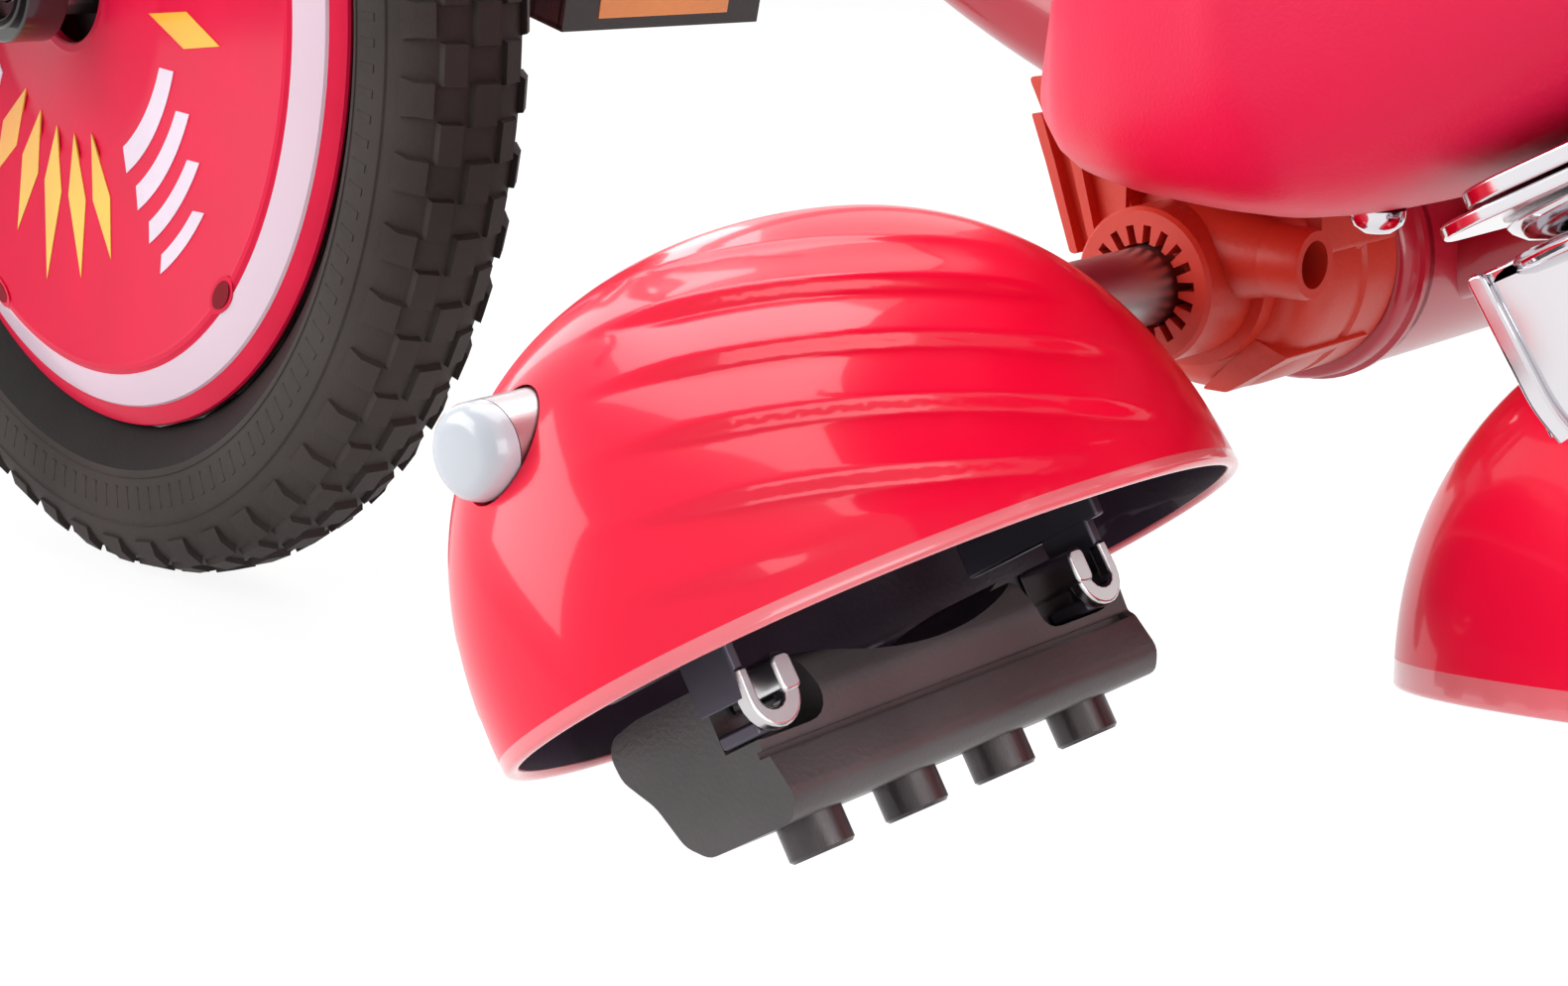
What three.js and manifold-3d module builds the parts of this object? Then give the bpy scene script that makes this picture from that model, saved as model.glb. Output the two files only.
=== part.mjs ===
// A drift trike: pedal wheel in front, bucket seat low at the back on two inclined casters, and a sprung
// spark bar with a palm dome on each side. Millimetres, +X right, +Y forward, +Z up, standing on Z = 0.
import * as THREE from 'three';
import { mergeVertices } from 'three/addons/utils/BufferGeometryUtils.js';
import Module from 'manifold-3d';

// Fits shared by all pieces
const fitGap = 0.3;
const bentFitGap = 0.9;
const runningGap = 0.5;
const cutOverrun = 6;

// Layout of the trike
const wheelToCrossbar = 495;
const crossbarHeight = 175;
const rakeDegrees = 12;
const steerAtRestDegrees = -7.6;
const forkOffset = 22;

// Front wheel
const wheelDiameter = 406;
const tyreWidth = 47;
const tyreDepth = 51;
const coverRadius = 151;
const coverFaceOffset = 14;
const coverThickness = 2.5;
const coverEdgeRound = 1.6;
const coverHoleRadius = 22;
const coverSeatRadius = 141;
const coverShoulderRadius = 132;
const coverBulge = 8;
const coverCrown = 2;
const rimDepth = 11.7;
const rimWall = 3;
const spokeRadius = 1.2;
const hubBodyRadius = 13;
const hubFlangeRadius = 28;
const hubFlangeThickness = 3;
const hubFlangeOffset = 7.5;
const axleRadius = 7.5;
const axleHalfLength = 68;
const bearingRadius = 13;
const bearingWidth = 10;

// Fork and steering
const forkLegOffset = 42;
const forkLegRadius = 12;
const forkEndRadius = 21;
const forkEndWidth = 15;
const tyreToCrown = 16;
const crownHeight = 22;
const crownMargin = 2;
const steererRadius = 12.7;
const cupRadius = 20;
const lowerCupHeight = 13.6;
const upperCupHeight = 11;
const headTubeLength = 100;
const headTubeRadius = 18.5;
const headTubeBoreRadius = 14;
const topNutHeight = 8.4;
const topNutRadius = 17;
const stemHeight = 34;
const stemRadius = 18;
const stemReach = 46;
const stemNeckWidth = 26;
const stemNeckHeight = 24;
const barClampRadius = 17;
const barClampWidth = 44;
const stemCapHeight = 4;
const stemCapRadius = 16;

// Handlebar
const handlebarRadius = 11.1;
const handlebarWidth = 540;
const handlebarRise = 118;
const handlebarFlat = 120;
const handlebarShoulder = 260;
const handlebarSweep = 34;
const handlebarBendRadius = 30;
const shoulderSweepShare = 0.35;
const gripRadius = 15.5;
const gripLength = 104;
const gripFlangeRadius = 21;
const gripFlangeWidth = 4;
const gripEndWall = 4;

// Cranks and pedals
const crankLength = 112;
const crankAngleDegrees = -14;
const crankOffset = 56;
const crankThickness = 11;
const crankBossRadius = 17;
const crankEyeRadius = 12;
const crankBoltRadius = 9;
const crankBoltHeight = 4;
const spindleRadius = 5;
const pedalClearance = 6;
const pedalWidth = 82;
const pedalDepth = 62;
const pedalThickness = 23;
const pedalCornerRadius = 8;
const spindleEndInset = 2;

// Frame
const mainTubeRadius = 17;
const mainTubeHeadDrop = 44;
const mainTubeBendY = -330;
const mainTubeBendZ = 236;
const mainTubeBend = 80;
const mainTubeEndDrop = 2;
const crossbarRadius = 24.6;
const crossbarHalfLength = 68;
const crossbarBoreRadius = 19.5;
const railRadius = 9.5;
const railOffset = 36;
const railDrop = 12;
const railEndForward = 6;
const rearPlateThickness = 4;
const rearPlateHalfWidth = 194;
const rearPlateFront = 18;
const rearPlateBack = 34;

// Seat and what carries it
const seatHalfWidth = 205;
const seatThickness = 4;
const seatFrontY = -441;
const seatLength = 324;
const seatBottomZ = 200;
const seatHeight = 226;
const seatSideRise = 130;
const seatBoltX = 15;
const seatBoltBack = 10;
const seatBoltHeadRadius = 6.5;
const seatBoltHeadHeight = 4;
const seatBoltRadius = 3;
const seatBoltEnd = 3;
const saddleHalfWidth = 118;
const saddleFront = 14;
const saddleBack = 5;
const saddleLean = 10;
const saddleHeight = 22;
const saddleCutDepth = 60;

// Bar housings at the ends of the crossbar
const housingRadius = 25.5;
const housingBossRadius = 16;
const housingBossLength = 20;
const housingEndX = 124;
const housingShoulderRound = 12;
const housingCavityRadius = 19;
const housingWall = 4;
const notchCount = 18;
const notchOuterRadius = 12.2;
const notchWidth = 1.7;
const notchDepth = 7;
const ribCount = 4;
const ribThickness = 2.6;
const ribPitch = 11.2;
const ribReach = 14;
const webTop = 22;
const webLow = 4;
const webFront = 20;
const webLean = 9;
const webBack = 25;
const webInset = 6;
const screwBossRadius = 7;
const screwBossHoleRadius = 4.8;
const screwBossReach = 31;
const screwBossX = 110;
const screwBossRaise = 6;
const bushWidth = 22;
const springRadius = 14.5;
const springWire = 3;
const springLength = 24;

// Spark bars
const sparkBarRadius = 8;
const sparkBarWall = 1.6;
const sparkBarEndX = 309;
const sparkBarInnerX = 34;
const endCapLength = 6;
const endCapSpigot = 14;
const endCapRound = 3;
const padTiltDegrees = 31.5;
const padCentreX = 227.6;
const domeHalfLength = 84.5;
const domeShift = 2.5;
const domeHalfWidth = 48.5;
const domeHeight = 72;
const domeRimDrop = 45;
const domeWall = 2.6;
const domeExtraTiltDegrees = 4;
const holderThickness = 2.6;
const holderOuterSpan = 53.6;
const holderInnerSpan = 46.8;
const holderBack = 12;
const holderFront = 22;
const holderHookWidth = 15;
const holderTop = 9;
const holderSideDepth = 44.5;
const hookDepth = 57.5;
const hookRadius = 5;
const hookTip = 47.5;
const cartridgeLength = 101;
const cartridgeDepth = 36.3;
const cartridgeHeight = 25.8;
const cartridgeRear = 7.4;
const cartridgeBottom = 71.7;
const recessWidth = 21;
const saddleDip = 6;
const flintCount = 4;
const flintPitch = 24.7;
const flintRadius = 5.8;
const flintCentre = 5;
const flintPocketDepth = 8;
const flintStripWidth = 6;
const flintStripThickness = 2.4;
const flintReach = 6.3;

// Casters
const casterLeanDegrees = 28;
const casterX = 152;
const casterPivotY = -614;
const casterPivotZ = 213;
const casterWheelRadius = 72;
const casterWheelWidth = 26;
const casterOffset = 40;
const casterTreadThickness = 14;
const treadRoundShare = 0.55;
const casterCoreWidth = 30;
const casterBoreGap = 0.4;
const casterPlateWidth = 80;
const casterPlateLength = 62;
const casterPlateThickness = 3;
const casterPlateCorner = 8;
const casterCupRadius = 25;
const casterCupHeight = 5;
const casterCupEdge = 17;
const kingpinRadius = 6;
const kingpinNutRadius = 9.5;
const kingpinNutHeight = 7;
const casterCrownRadius = 28;
const casterCrownThickness = 4;
const casterLegThickness = 3;
const casterLegOuter = 21;
const casterLegFront = 26;
const casterLegBack = 26;
const casterLegEndRadius = 14;
const casterAxleRadius = 4;
const casterAxleHeadRadius = 7;
const casterAxleHeadHeight = 4.5;
const fenderHalfLength = 108.5;
const fenderHalfWidth = 52;
const fenderHeight = 79.3;
const fenderInset = 3.8;
const fenderBack = 67.4;
const fenderRimZ = 129.6;
const fenderLeanDegrees = 6.9;
const fenderRollDegrees = 10.9;
const fenderClearance = 3;

// Outline shares: of the tyre's depth and half width, from bead to crown
const tyreOutlineShares = [[0, 0.46], [0.14, 0.78], [0.38, 1], [0.66, 1], [0.88, 0.8], [1, 0.3]];
const tyreCavityShares = [[0, 0.36], [0.3, 0.8], [0.66, 0.8], [0.82, 0.4]];
// Seat spine shares: of the seat's length (backwards) and height (upwards)
const seatSpineShares = [
  [0, 0.0885], [0.028, 0.049], [0.083, 0.02], [0.157, 0.0045], [0.219, 0], [0.29, 0], [0.383, 0.004],
  [0.46, 0.0435], [0.614, 0.164], [0.74, 0.262], [0.845, 0.4], [0.92, 0.59], [0.97, 0.8], [1, 1],
];
// Seat width and side height shares along the same spine
const seatWidthShares = [0.34, 0.46, 0.61, 0.76, 0.87, 0.95, 0.995, 1, 1, 0.985, 0.95, 0.88, 0.76, 0.58];
const seatSideShares = [0.06, 0.14, 0.3, 0.5, 0.68, 0.84, 0.96, 1, 1, 0.92, 0.74, 0.5, 0.28, 0.1];
// Cartridge outline shares: of its depth (forwards) and height (upwards)
const cartridgeOutlineShares = [
  [0.07, 0], [0.65, 0], [0.77, 0.13], [0.85, 0.44], [0.99, 0.68], [1, 0.86], [0.94, 0.96], [0.75, 1],
  [0.24, 1], [0.12, 0.93], [0.06, 0.72], [0.09, 0.46], [0.05, 0.42], [0, 0.15],
];

// Counts of sides, rings and copies
const wheelSides = 32;
const casterSides = 20;
const roundSides = 12;
const smallSides = 8;
const spokeCount = 12;
const spokeSides = 4;
const hexSides = 6;
const domeSpokes = 22;
const domeRings = 4;
const domeFootPower = 2.1;
const domeProfilePower = 2.3;
const seatColumnDegrees = [0, 22, 35, 41, 45, 49, 60, 84];
const seatSquarePower = 12;
const bendSteps = 20;
const curlSteps = 4;
const arcSteps = 3;
const linkSteps = 5;

const finishes = {
  tyreRubber: { color: 0x2b2626, roughness: 0.85, metalness: 0 },
  blackPlastic: { color: 0x1c1a1b, roughness: 0.5, metalness: 0 },
  blackSteel: { color: 0x161516, roughness: 0.4, metalness: 0.3 },
  coverRed: { color: 0xd4082c, roughness: 0.35, metalness: 0 },
  frameRed: { color: 0xa80d22, roughness: 0.35, metalness: 0.1 },
  seatRed: { color: 0xe01848, roughness: 0.5, metalness: 0 },
  domeRed: { color: 0xe80a30, roughness: 0.15, metalness: 0 },
  housingOrange: { color: 0xbb3526, roughness: 0.55, metalness: 0 },
  steel: { color: 0xa8a6a8, roughness: 0.35, metalness: 0.9 },
  chrome: { color: 0xd8d8dc, roughness: 0.12, metalness: 1 },
  cartridgeBlack: { color: 0x2a2526, roughness: 0.55, metalness: 0 },
  flintGrey: { color: 0x2e292a, roughness: 0.45, metalness: 0.4 },
  rubberGrip: { color: 0x191818, roughness: 0.9, metalness: 0 },
};

const wasm = await Module();
wasm.setup();

const radians = THREE.MathUtils.degToRad;
const vector = (x, y, z) => new THREE.Vector3(x, y, z);

// Solids from geometry
function toSolid(geometry) {
  const bare = geometry.index ? geometry.toNonIndexed() : geometry.clone();
  for (const name of Object.keys(bare.attributes)) {
    if (name !== 'position') bare.deleteAttribute(name);
  }
  const merged = mergeVertices(bare);
  const vertProperties = Float32Array.from(merged.attributes.position.array);
  const triangles = [];
  const index = merged.index.array;
  let volume = 0;
  const corner = (i) => vector(...vertProperties.subarray(3 * i, 3 * i + 3));
  for (let i = 0; i < index.length; i += 3) {
    const [a, b, c] = [index[i], index[i + 1], index[i + 2]];
    if (a === b || b === c || c === a) continue;
    triangles.push([a, b, c]);
    volume += corner(a).dot(corner(b).cross(corner(c)));
  }
  const ordered = volume < 0 ? triangles.map(([a, b, c]) => [a, c, b]) : triangles;
  const triVerts = Uint32Array.from(ordered.flat());
  return new wasm.Manifold(new wasm.Mesh({ numProp: 3, vertProperties, triVerts }));
}

function toGeometry(solid) {
  const mesh = solid.getMesh();
  const geometry = new THREE.BufferGeometry();
  geometry.setAttribute('position', new THREE.BufferAttribute(Float32Array.from(mesh.vertProperties), 3));
  geometry.setIndex(new THREE.BufferAttribute(Uint32Array.from(mesh.triVerts), 1));
  const flat = geometry.toNonIndexed();
  flat.computeVertexNormals();
  return flat;
}

const join = (...geometries) => toGeometry(geometries.map(toSolid).reduce((sum, solid) => sum.add(solid)));

const cut = (geometry, ...tools) => (
  toGeometry(tools.map(toSolid).reduce((rest, tool) => rest.subtract(tool), toSolid(geometry)))
);

const moved = (geometry, x, y, z) => geometry.clone().translate(x, y, z);

// Basic shapes
function latheX(profile, sides = roundSides) {
  const geometry = new THREE.LatheGeometry(profile.map(([r, x]) => new THREE.Vector2(r, x)), sides);
  return geometry.rotateZ(-Math.PI / 2);
}

function latheZ(profile, sides = roundSides) {
  const geometry = new THREE.LatheGeometry(profile.map(([r, z]) => new THREE.Vector2(r, z)), sides);
  return geometry.rotateX(Math.PI / 2);
}

const discProfile = (radius, low, high) => [[0, low], [radius, low], [radius, high], [0, high]];

const ringProfile = (outer, inner, low, high) => (
  [[inner, low], [outer, low], [outer, high], [inner, high], [inner, low]]
);

const barX = (radius, low, high, sides) => latheX(discProfile(radius, low, high), sides);
const barZ = (radius, low, high, sides) => latheZ(discProfile(radius, low, high), sides);
const ringX = (outer, inner, low, high, sides) => latheX(ringProfile(outer, inner, low, high), sides);
const ringZ = (outer, inner, low, high, sides) => latheZ(ringProfile(outer, inner, low, high), sides);

function barBetween(radius, from, to, sides = roundSides) {
  const along = to.clone().sub(from);
  const geometry = new THREE.CylinderGeometry(radius, radius, along.length(), sides);
  const turn = new THREE.Quaternion().setFromUnitVectors(vector(0, 1, 0), along.clone().normalize());
  const middle = from.clone().add(to).multiplyScalar(0.5);
  return geometry.applyQuaternion(turn).translate(middle.x, middle.y, middle.z);
}

function block(lowX, highX, lowY, highY, lowZ, highZ) {
  const geometry = new THREE.BoxGeometry(highX - lowX, highY - lowY, highZ - lowZ);
  return geometry.translate((lowX + highX) / 2, (lowY + highY) / 2, (lowZ + highZ) / 2);
}

// An outline in the Y-Z plane, extruded along X
function slabX(outline, low, high) {
  const shape = new THREE.Shape(outline.map(([y, z]) => new THREE.Vector2(y, z)));
  const geometry = new THREE.ExtrudeGeometry(shape, { depth: high - low, bevelEnabled: false });
  const basis = new THREE.Matrix4().makeBasis(vector(0, 1, 0), vector(0, 0, 1), vector(1, 0, 0));
  return geometry.applyMatrix4(basis).translate(low, 0, 0);
}

function roundedPlate(halfX, lowY, highY, corner, lowZ, highZ) {
  const shape = new THREE.Shape();
  shape.moveTo(-halfX + corner, lowY);
  shape.lineTo(halfX - corner, lowY);
  shape.absarc(halfX - corner, lowY + corner, corner, -Math.PI / 2, 0);
  shape.absarc(halfX - corner, highY - corner, corner, 0, Math.PI / 2);
  shape.absarc(-halfX + corner, highY - corner, corner, Math.PI / 2, Math.PI);
  shape.absarc(-halfX + corner, lowY + corner, corner, Math.PI, 1.5 * Math.PI);
  const options = { depth: highZ - lowZ, bevelEnabled: false, curveSegments: arcSteps };
  return new THREE.ExtrudeGeometry(shape, options).translate(0, 0, lowZ);
}

// A flat link with round ends, in the Y-Z plane, extruded along X
function linkX(fromY, fromZ, fromRadius, toY, toZ, toRadius, low, high) {
  const along = Math.atan2(toZ - fromZ, toY - fromY);
  const span = Math.hypot(toZ - fromZ, toY - fromY);
  const spread = Math.acos((fromRadius - toRadius) / span);
  const shape = new THREE.Shape();
  shape.absarc(fromY, fromZ, fromRadius, along + spread, along - spread + 2 * Math.PI);
  shape.absarc(toY, toZ, toRadius, along - spread, along + spread);
  shape.closePath();
  return slabX(shape.getPoints(linkSteps).map((point) => [point.x, point.y]), low, high);
}

// A straight-sided path whose corners are rounded
function roundedPath(points, bend) {
  const path = new THREE.CurvePath();
  let start = points[0];
  for (let i = 1; i < points.length - 1; i += 1) {
    const into = points[i].clone().sub(points[i - 1]).setLength(bend);
    const outOf = points[i + 1].clone().sub(points[i]).setLength(bend);
    const before = points[i].clone().sub(into);
    const after = points[i].clone().add(outOf);
    path.add(new THREE.LineCurve3(start, before));
    path.add(new THREE.QuadraticBezierCurve3(before, points[i], after));
    start = after;
  }
  path.add(new THREE.LineCurve3(start, points[points.length - 1]));
  return path;
}

function bentTube(path, radius, steps, sides) {
  const shape = new THREE.Shape().absarc(0, 0, radius, 0, 2 * Math.PI);
  const ring = new THREE.Shape(shape.getPoints(sides / 2).slice(0, sides));
  return new THREE.ExtrudeGeometry(ring, { steps, extrudePath: path, bevelEnabled: false });
}

// A closed skin between an outer and an inner grid of points; each grid is rows of points
function shellFromRings(outerRings, innerRings) {
  const positions = [];
  const index = [];
  const spokes = outerRings[1].length;
  const addRing = (ring) => {
    const first = positions.length / 3;
    ring.forEach((point) => positions.push(point.x, point.y, point.z));
    return first;
  };
  const bridge = (a, b, flip) => {
    for (let j = 0; j < spokes; j += 1) {
      const k = (j + 1) % spokes;
      const quad = [[a + j, b + j, b + k], [a + j, b + k, a + k]];
      quad.forEach(([p, q, r]) => index.push(...(flip ? [p, r, q] : [p, q, r])));
    }
  };
  const cap = (rings, flip) => {
    const starts = rings.map(addRing);
    for (let j = 0; j < spokes; j += 1) {
      const face = [starts[0], starts[1] + j, starts[1] + ((j + 1) % spokes)];
      index.push(...(flip ? [face[0], face[2], face[1]] : face));
    }
    for (let i = 1; i < starts.length - 1; i += 1) bridge(starts[i], starts[i + 1], flip);
    return starts[starts.length - 1];
  };
  const outerEdge = cap(outerRings, false);
  const innerEdge = cap(innerRings, true);
  bridge(outerEdge, innerEdge, false);
  const geometry = new THREE.BufferGeometry();
  geometry.setAttribute('position', new THREE.Float32BufferAttribute(positions, 3));
  geometry.setIndex(index);
  return geometry;
}

// One ring of an oval dome: level runs from 0 at the crown to 1 at the rim
function domeRing(halfLength, halfWidth, height, level) {
  const angle = level * Math.PI / 2;
  const reachShare = Math.sin(angle) ** (2 / domeProfilePower);
  const riseShare = Math.max(Math.cos(angle), 0) ** (2 / domeProfilePower);
  const ring = [];
  for (let j = 0; j < domeSpokes; j += 1) {
    const turn = 2 * Math.PI * j / domeSpokes;
    const power = 2 / domeFootPower;
    const acrossShare = Math.sign(Math.cos(turn)) * Math.abs(Math.cos(turn)) ** power;
    const alongShare = Math.sign(Math.sin(turn)) * Math.abs(Math.sin(turn)) ** power;
    const x = halfLength * acrossShare * reachShare;
    const y = halfWidth * alongShare * reachShare;
    ring.push(vector(x, y, height * riseShare));
  }
  return ring;
}

function domeShell(halfLength, halfWidth, height) {
  const outer = [[vector(0, 0, height)]];
  const inner = [[vector(0, 0, height - domeWall)]];
  for (let i = 1; i < domeRings; i += 1) {
    outer.push(domeRing(halfLength, halfWidth, height, i / domeRings));
    inner.push(domeRing(halfLength - domeWall, halfWidth - domeWall, height - domeWall, i / domeRings));
  }
  outer.push(domeRing(halfLength, halfWidth, height, 1));
  inner.push(domeRing(halfLength - domeWall, halfWidth - domeWall, height, 1));
  return shellFromRings(outer, inner);
}

const trike = new THREE.Group();

function addGroup(parent, x = 0, y = 0, z = 0) {
  const group = new THREE.Group();
  group.position.set(x, y, z);
  parent.add(group);
  return group;
}

function addPiece(parent, name, geometry, finish) {
  const mesh = new THREE.Mesh(toGeometry(toSolid(geometry)), new THREE.MeshStandardMaterial(finishes[finish]));
  mesh.name = name;
  parent.add(mesh);
  return mesh;
}

// Derived places
const wheelRadius = wheelDiameter / 2;
const beadRadius = wheelRadius - tyreDepth;
const rimOuterRadius = beadRadius - fitGap;
const rimInnerRadius = rimOuterRadius - rimDepth;
const rimHalfWidth = coverFaceOffset - coverThickness - fitGap;
const forkEndInner = forkLegOffset - forkEndWidth / 2;
const crownLow = wheelRadius + tyreToCrown;
const crownHigh = crownLow + crownHeight;
const lowerCupLow = crownHigh + fitGap;
const headTubeLow = lowerCupLow + lowerCupHeight + fitGap;
const headTubeHigh = headTubeLow + headTubeLength;
const upperCupLow = headTubeHigh + fitGap;
const topNutLow = upperCupLow + upperCupHeight + fitGap;
const stemLow = topNutLow + topNutHeight + fitGap;
const stemHigh = stemLow + stemHeight;
const steererTop = stemHigh - fitGap;
const rake = radians(rakeDegrees);
const casterLean = radians(casterLeanDegrees);
const rearPlateLow = casterPlateThickness + fitGap;

// The steering axis frame: its origin is level with the wheel centre, Z runs up the axis
const headGroup = addGroup(
  trike, 0, -forkOffset * Math.cos(rake), wheelRadius - forkOffset * Math.sin(rake),
);
headGroup.rotation.x = rake;
headGroup.updateMatrix();
const steerGroup = addGroup(headGroup);
steerGroup.rotation.z = radians(steerAtRestDegrees);
const forkGroup = addGroup(steerGroup, 0, forkOffset, 0);

// Front wheel
function mirroredProfile(shares, depth, halfWidth, baseRadius) {
  const right = shares.map(([depthShare, widthShare]) => (
    [baseRadius + depth * depthShare, halfWidth * widthShare]
  ));
  const left = right.map(([r, x]) => [r, -x]);
  return [...left, ...right.reverse()];
}

function buildFrontWheel(parent) {
  const outer = mirroredProfile(tyreOutlineShares, tyreDepth, tyreWidth / 2, beadRadius);
  const cavity = mirroredProfile(tyreCavityShares, tyreDepth, tyreWidth / 2, beadRadius).reverse();
  addPiece(parent, 'front_tyre', latheX([...outer, ...cavity, outer[0]], wheelSides), 'tyreRubber');

  const rimProfile = [
    [rimInnerRadius, -rimHalfWidth], [rimOuterRadius, -rimHalfWidth], [rimOuterRadius, rimWall - rimHalfWidth],
    [rimInnerRadius + rimWall, rimWall - rimHalfWidth], [rimInnerRadius + rimWall, rimHalfWidth - rimWall],
    [rimOuterRadius, rimHalfWidth - rimWall], [rimOuterRadius, rimHalfWidth], [rimInnerRadius, rimHalfWidth],
    [rimInnerRadius, -rimHalfWidth],
  ];
  addPiece(parent, 'front_rim', latheX(rimProfile, wheelSides), 'blackSteel');

  const flangeOut = hubFlangeOffset + hubFlangeThickness;
  const hubProfile = [
    [0, -forkEndInner + fitGap], [hubBodyRadius, -forkEndInner + fitGap], [hubBodyRadius, -flangeOut],
    [hubFlangeRadius, -flangeOut], [hubFlangeRadius, -hubFlangeOffset], [hubBodyRadius, -hubFlangeOffset],
    [hubBodyRadius, hubFlangeOffset], [hubFlangeRadius, hubFlangeOffset], [hubFlangeRadius, flangeOut],
    [hubBodyRadius, flangeOut], [hubBodyRadius, forkEndInner - fitGap], [0, forkEndInner - fitGap],
  ];
  const spokes = [];
  for (let i = 0; i < spokeCount; i += 1) {
    const turn = 2 * Math.PI * i / spokeCount;
    const side = i % 2 === 0 ? 1 : -1;
    const radial = vector(0, Math.cos(turn), Math.sin(turn));
    const root = radial.clone().multiplyScalar(hubFlangeRadius - spokeRadius);
    root.x = side * (hubFlangeOffset + hubFlangeThickness / 2);
    const tip = radial.clone().multiplyScalar(rimInnerRadius * Math.cos(Math.PI / wheelSides) - 2 * fitGap);
    spokes.push(barBetween(spokeRadius, root, tip, spokeSides));
  }
  const axleHole = barX(axleRadius + fitGap, -axleHalfLength, axleHalfLength);
  addPiece(parent, 'hub_and_spokes', cut(join(latheX(hubProfile), ...spokes), axleHole), 'steel');
  addPiece(parent, 'front_axle', barX(axleRadius, -axleHalfLength, axleHalfLength), 'steel');

  const coverInner = coverFaceOffset - coverThickness;
  const coverRound = coverRadius - coverEdgeRound;
  for (const side of [-1, 1]) {
    const innerFace = [
      [coverHoleRadius, coverInner + coverBulge + coverCrown], [coverShoulderRadius, coverInner + coverBulge],
      [coverSeatRadius, coverInner], [coverRound, coverInner],
    ];
    const outerFace = [
      [coverRadius, coverInner + coverEdgeRound], [coverRound, coverFaceOffset],
      [coverShoulderRadius, coverFaceOffset + coverBulge],
      [coverHoleRadius, coverFaceOffset + coverBulge + coverCrown],
    ];
    const coverProfile = [...innerFace, ...outerFace, innerFace[0]].map(([r, x]) => [r, side * x]);
    const name = side < 0 ? 'wheel_cover_left' : 'wheel_cover_right';
    addPiece(parent, name, latheX(coverProfile, wheelSides), 'coverRed');
  }

  const bearingLow = forkLegOffset - bearingWidth / 2;
  const bearing = ringX(bearingRadius, axleRadius + fitGap, bearingLow, bearingLow + bearingWidth);
  addPiece(parent, 'wheel_bearing_right', bearing, 'steel');
  const leftBearing = ringX(bearingRadius, axleRadius + fitGap, -bearingLow - bearingWidth, -bearingLow);
  addPiece(parent, 'wheel_bearing_left', leftBearing, 'steel');
}

// Cranks and pedals: side is -1 on the left
function buildCrank(parent, side) {
  const word = side < 0 ? 'left' : 'right';
  const angle = radians(crankAngleDegrees) + (side < 0 ? 0 : Math.PI);
  const eyeY = crankLength * Math.cos(angle);
  const eyeZ = crankLength * Math.sin(angle);
  const span = (low, high) => (side < 0 ? [-high, -low] : [low, high]);
  const armSpan = span(crankOffset, crankOffset + crankThickness);
  const arm = linkX(0, 0, crankBossRadius, eyeY, eyeZ, crankEyeRadius, ...armSpan);
  const through = span(crankOffset - cutOverrun, crankOffset + crankThickness + cutOverrun);
  const spindleLow = crankOffset + crankThickness / 4;
  const pedalLow = crankOffset + crankThickness + pedalClearance;
  const pedalHigh = pedalLow + pedalWidth;
  const spindleHole = moved(barX(spindleRadius + fitGap, ...through), 0, eyeY, eyeZ);
  const crank = cut(arm, barX(axleRadius + fitGap, ...through), spindleHole);
  addPiece(parent, `crank_${word}`, crank, 'blackSteel');
  const boltLow = Math.max(axleHalfLength, crankOffset + crankThickness) + fitGap;
  const bolt = barX(crankBoltRadius, ...span(boltLow, boltLow + crankBoltHeight));
  addPiece(parent, `crank_bolt_${word}`, bolt, 'steel');
  const spindle = barX(spindleRadius, ...span(spindleLow, pedalHigh - spindleEndInset));
  addPiece(parent, `pedal_spindle_${word}`, moved(spindle, 0, eyeY, eyeZ), 'steel');
  const flatBlock = roundedPlate(
    pedalDepth / 2, -pedalThickness / 2, pedalThickness / 2, pedalCornerRadius, pedalLow, pedalHigh,
  );
  const turned = flatBlock.applyMatrix4(
    new THREE.Matrix4().makeBasis(vector(0, 1, 0), vector(0, 0, 1), vector(1, 0, 0)),
  );
  const body = side < 0 ? moved(turned, -pedalLow - pedalHigh, 0, 0) : turned;
  const bore = barX(spindleRadius + runningGap, ...span(pedalLow - cutOverrun, pedalHigh + cutOverrun));
  addPiece(parent, `pedal_${word}`, moved(cut(body, bore), 0, eyeY, eyeZ), 'blackPlastic');
}

// Fork, stem and handlebar
function buildFork(parent) {
  const pieces = [];
  for (const side of [-1, 1]) {
    const x = side * forkLegOffset;
    pieces.push(barX(forkEndRadius, x - forkEndWidth / 2, x + forkEndWidth / 2));
    pieces.push(moved(barZ(forkLegRadius, 0, crownLow + crownHeight / 2), x, 0, 0));
  }
  const crownHalf = forkLegOffset + forkLegRadius + crownMargin;
  const crownBack = -forkOffset - cupRadius;
  const crownFront = forkLegRadius + crownMargin;
  pieces.push(roundedPlate(crownHalf, crownBack, crownFront, forkLegRadius, crownLow, crownHigh));
  pieces.push(moved(barZ(steererRadius, crownLow + crownHeight / 2, steererTop), 0, -forkOffset, 0));
  const bearingHole = barX(bearingRadius + fitGap, -axleHalfLength, axleHalfLength);
  addPiece(parent, 'fork', cut(join(...pieces), bearingHole), 'blackSteel');
}

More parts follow.
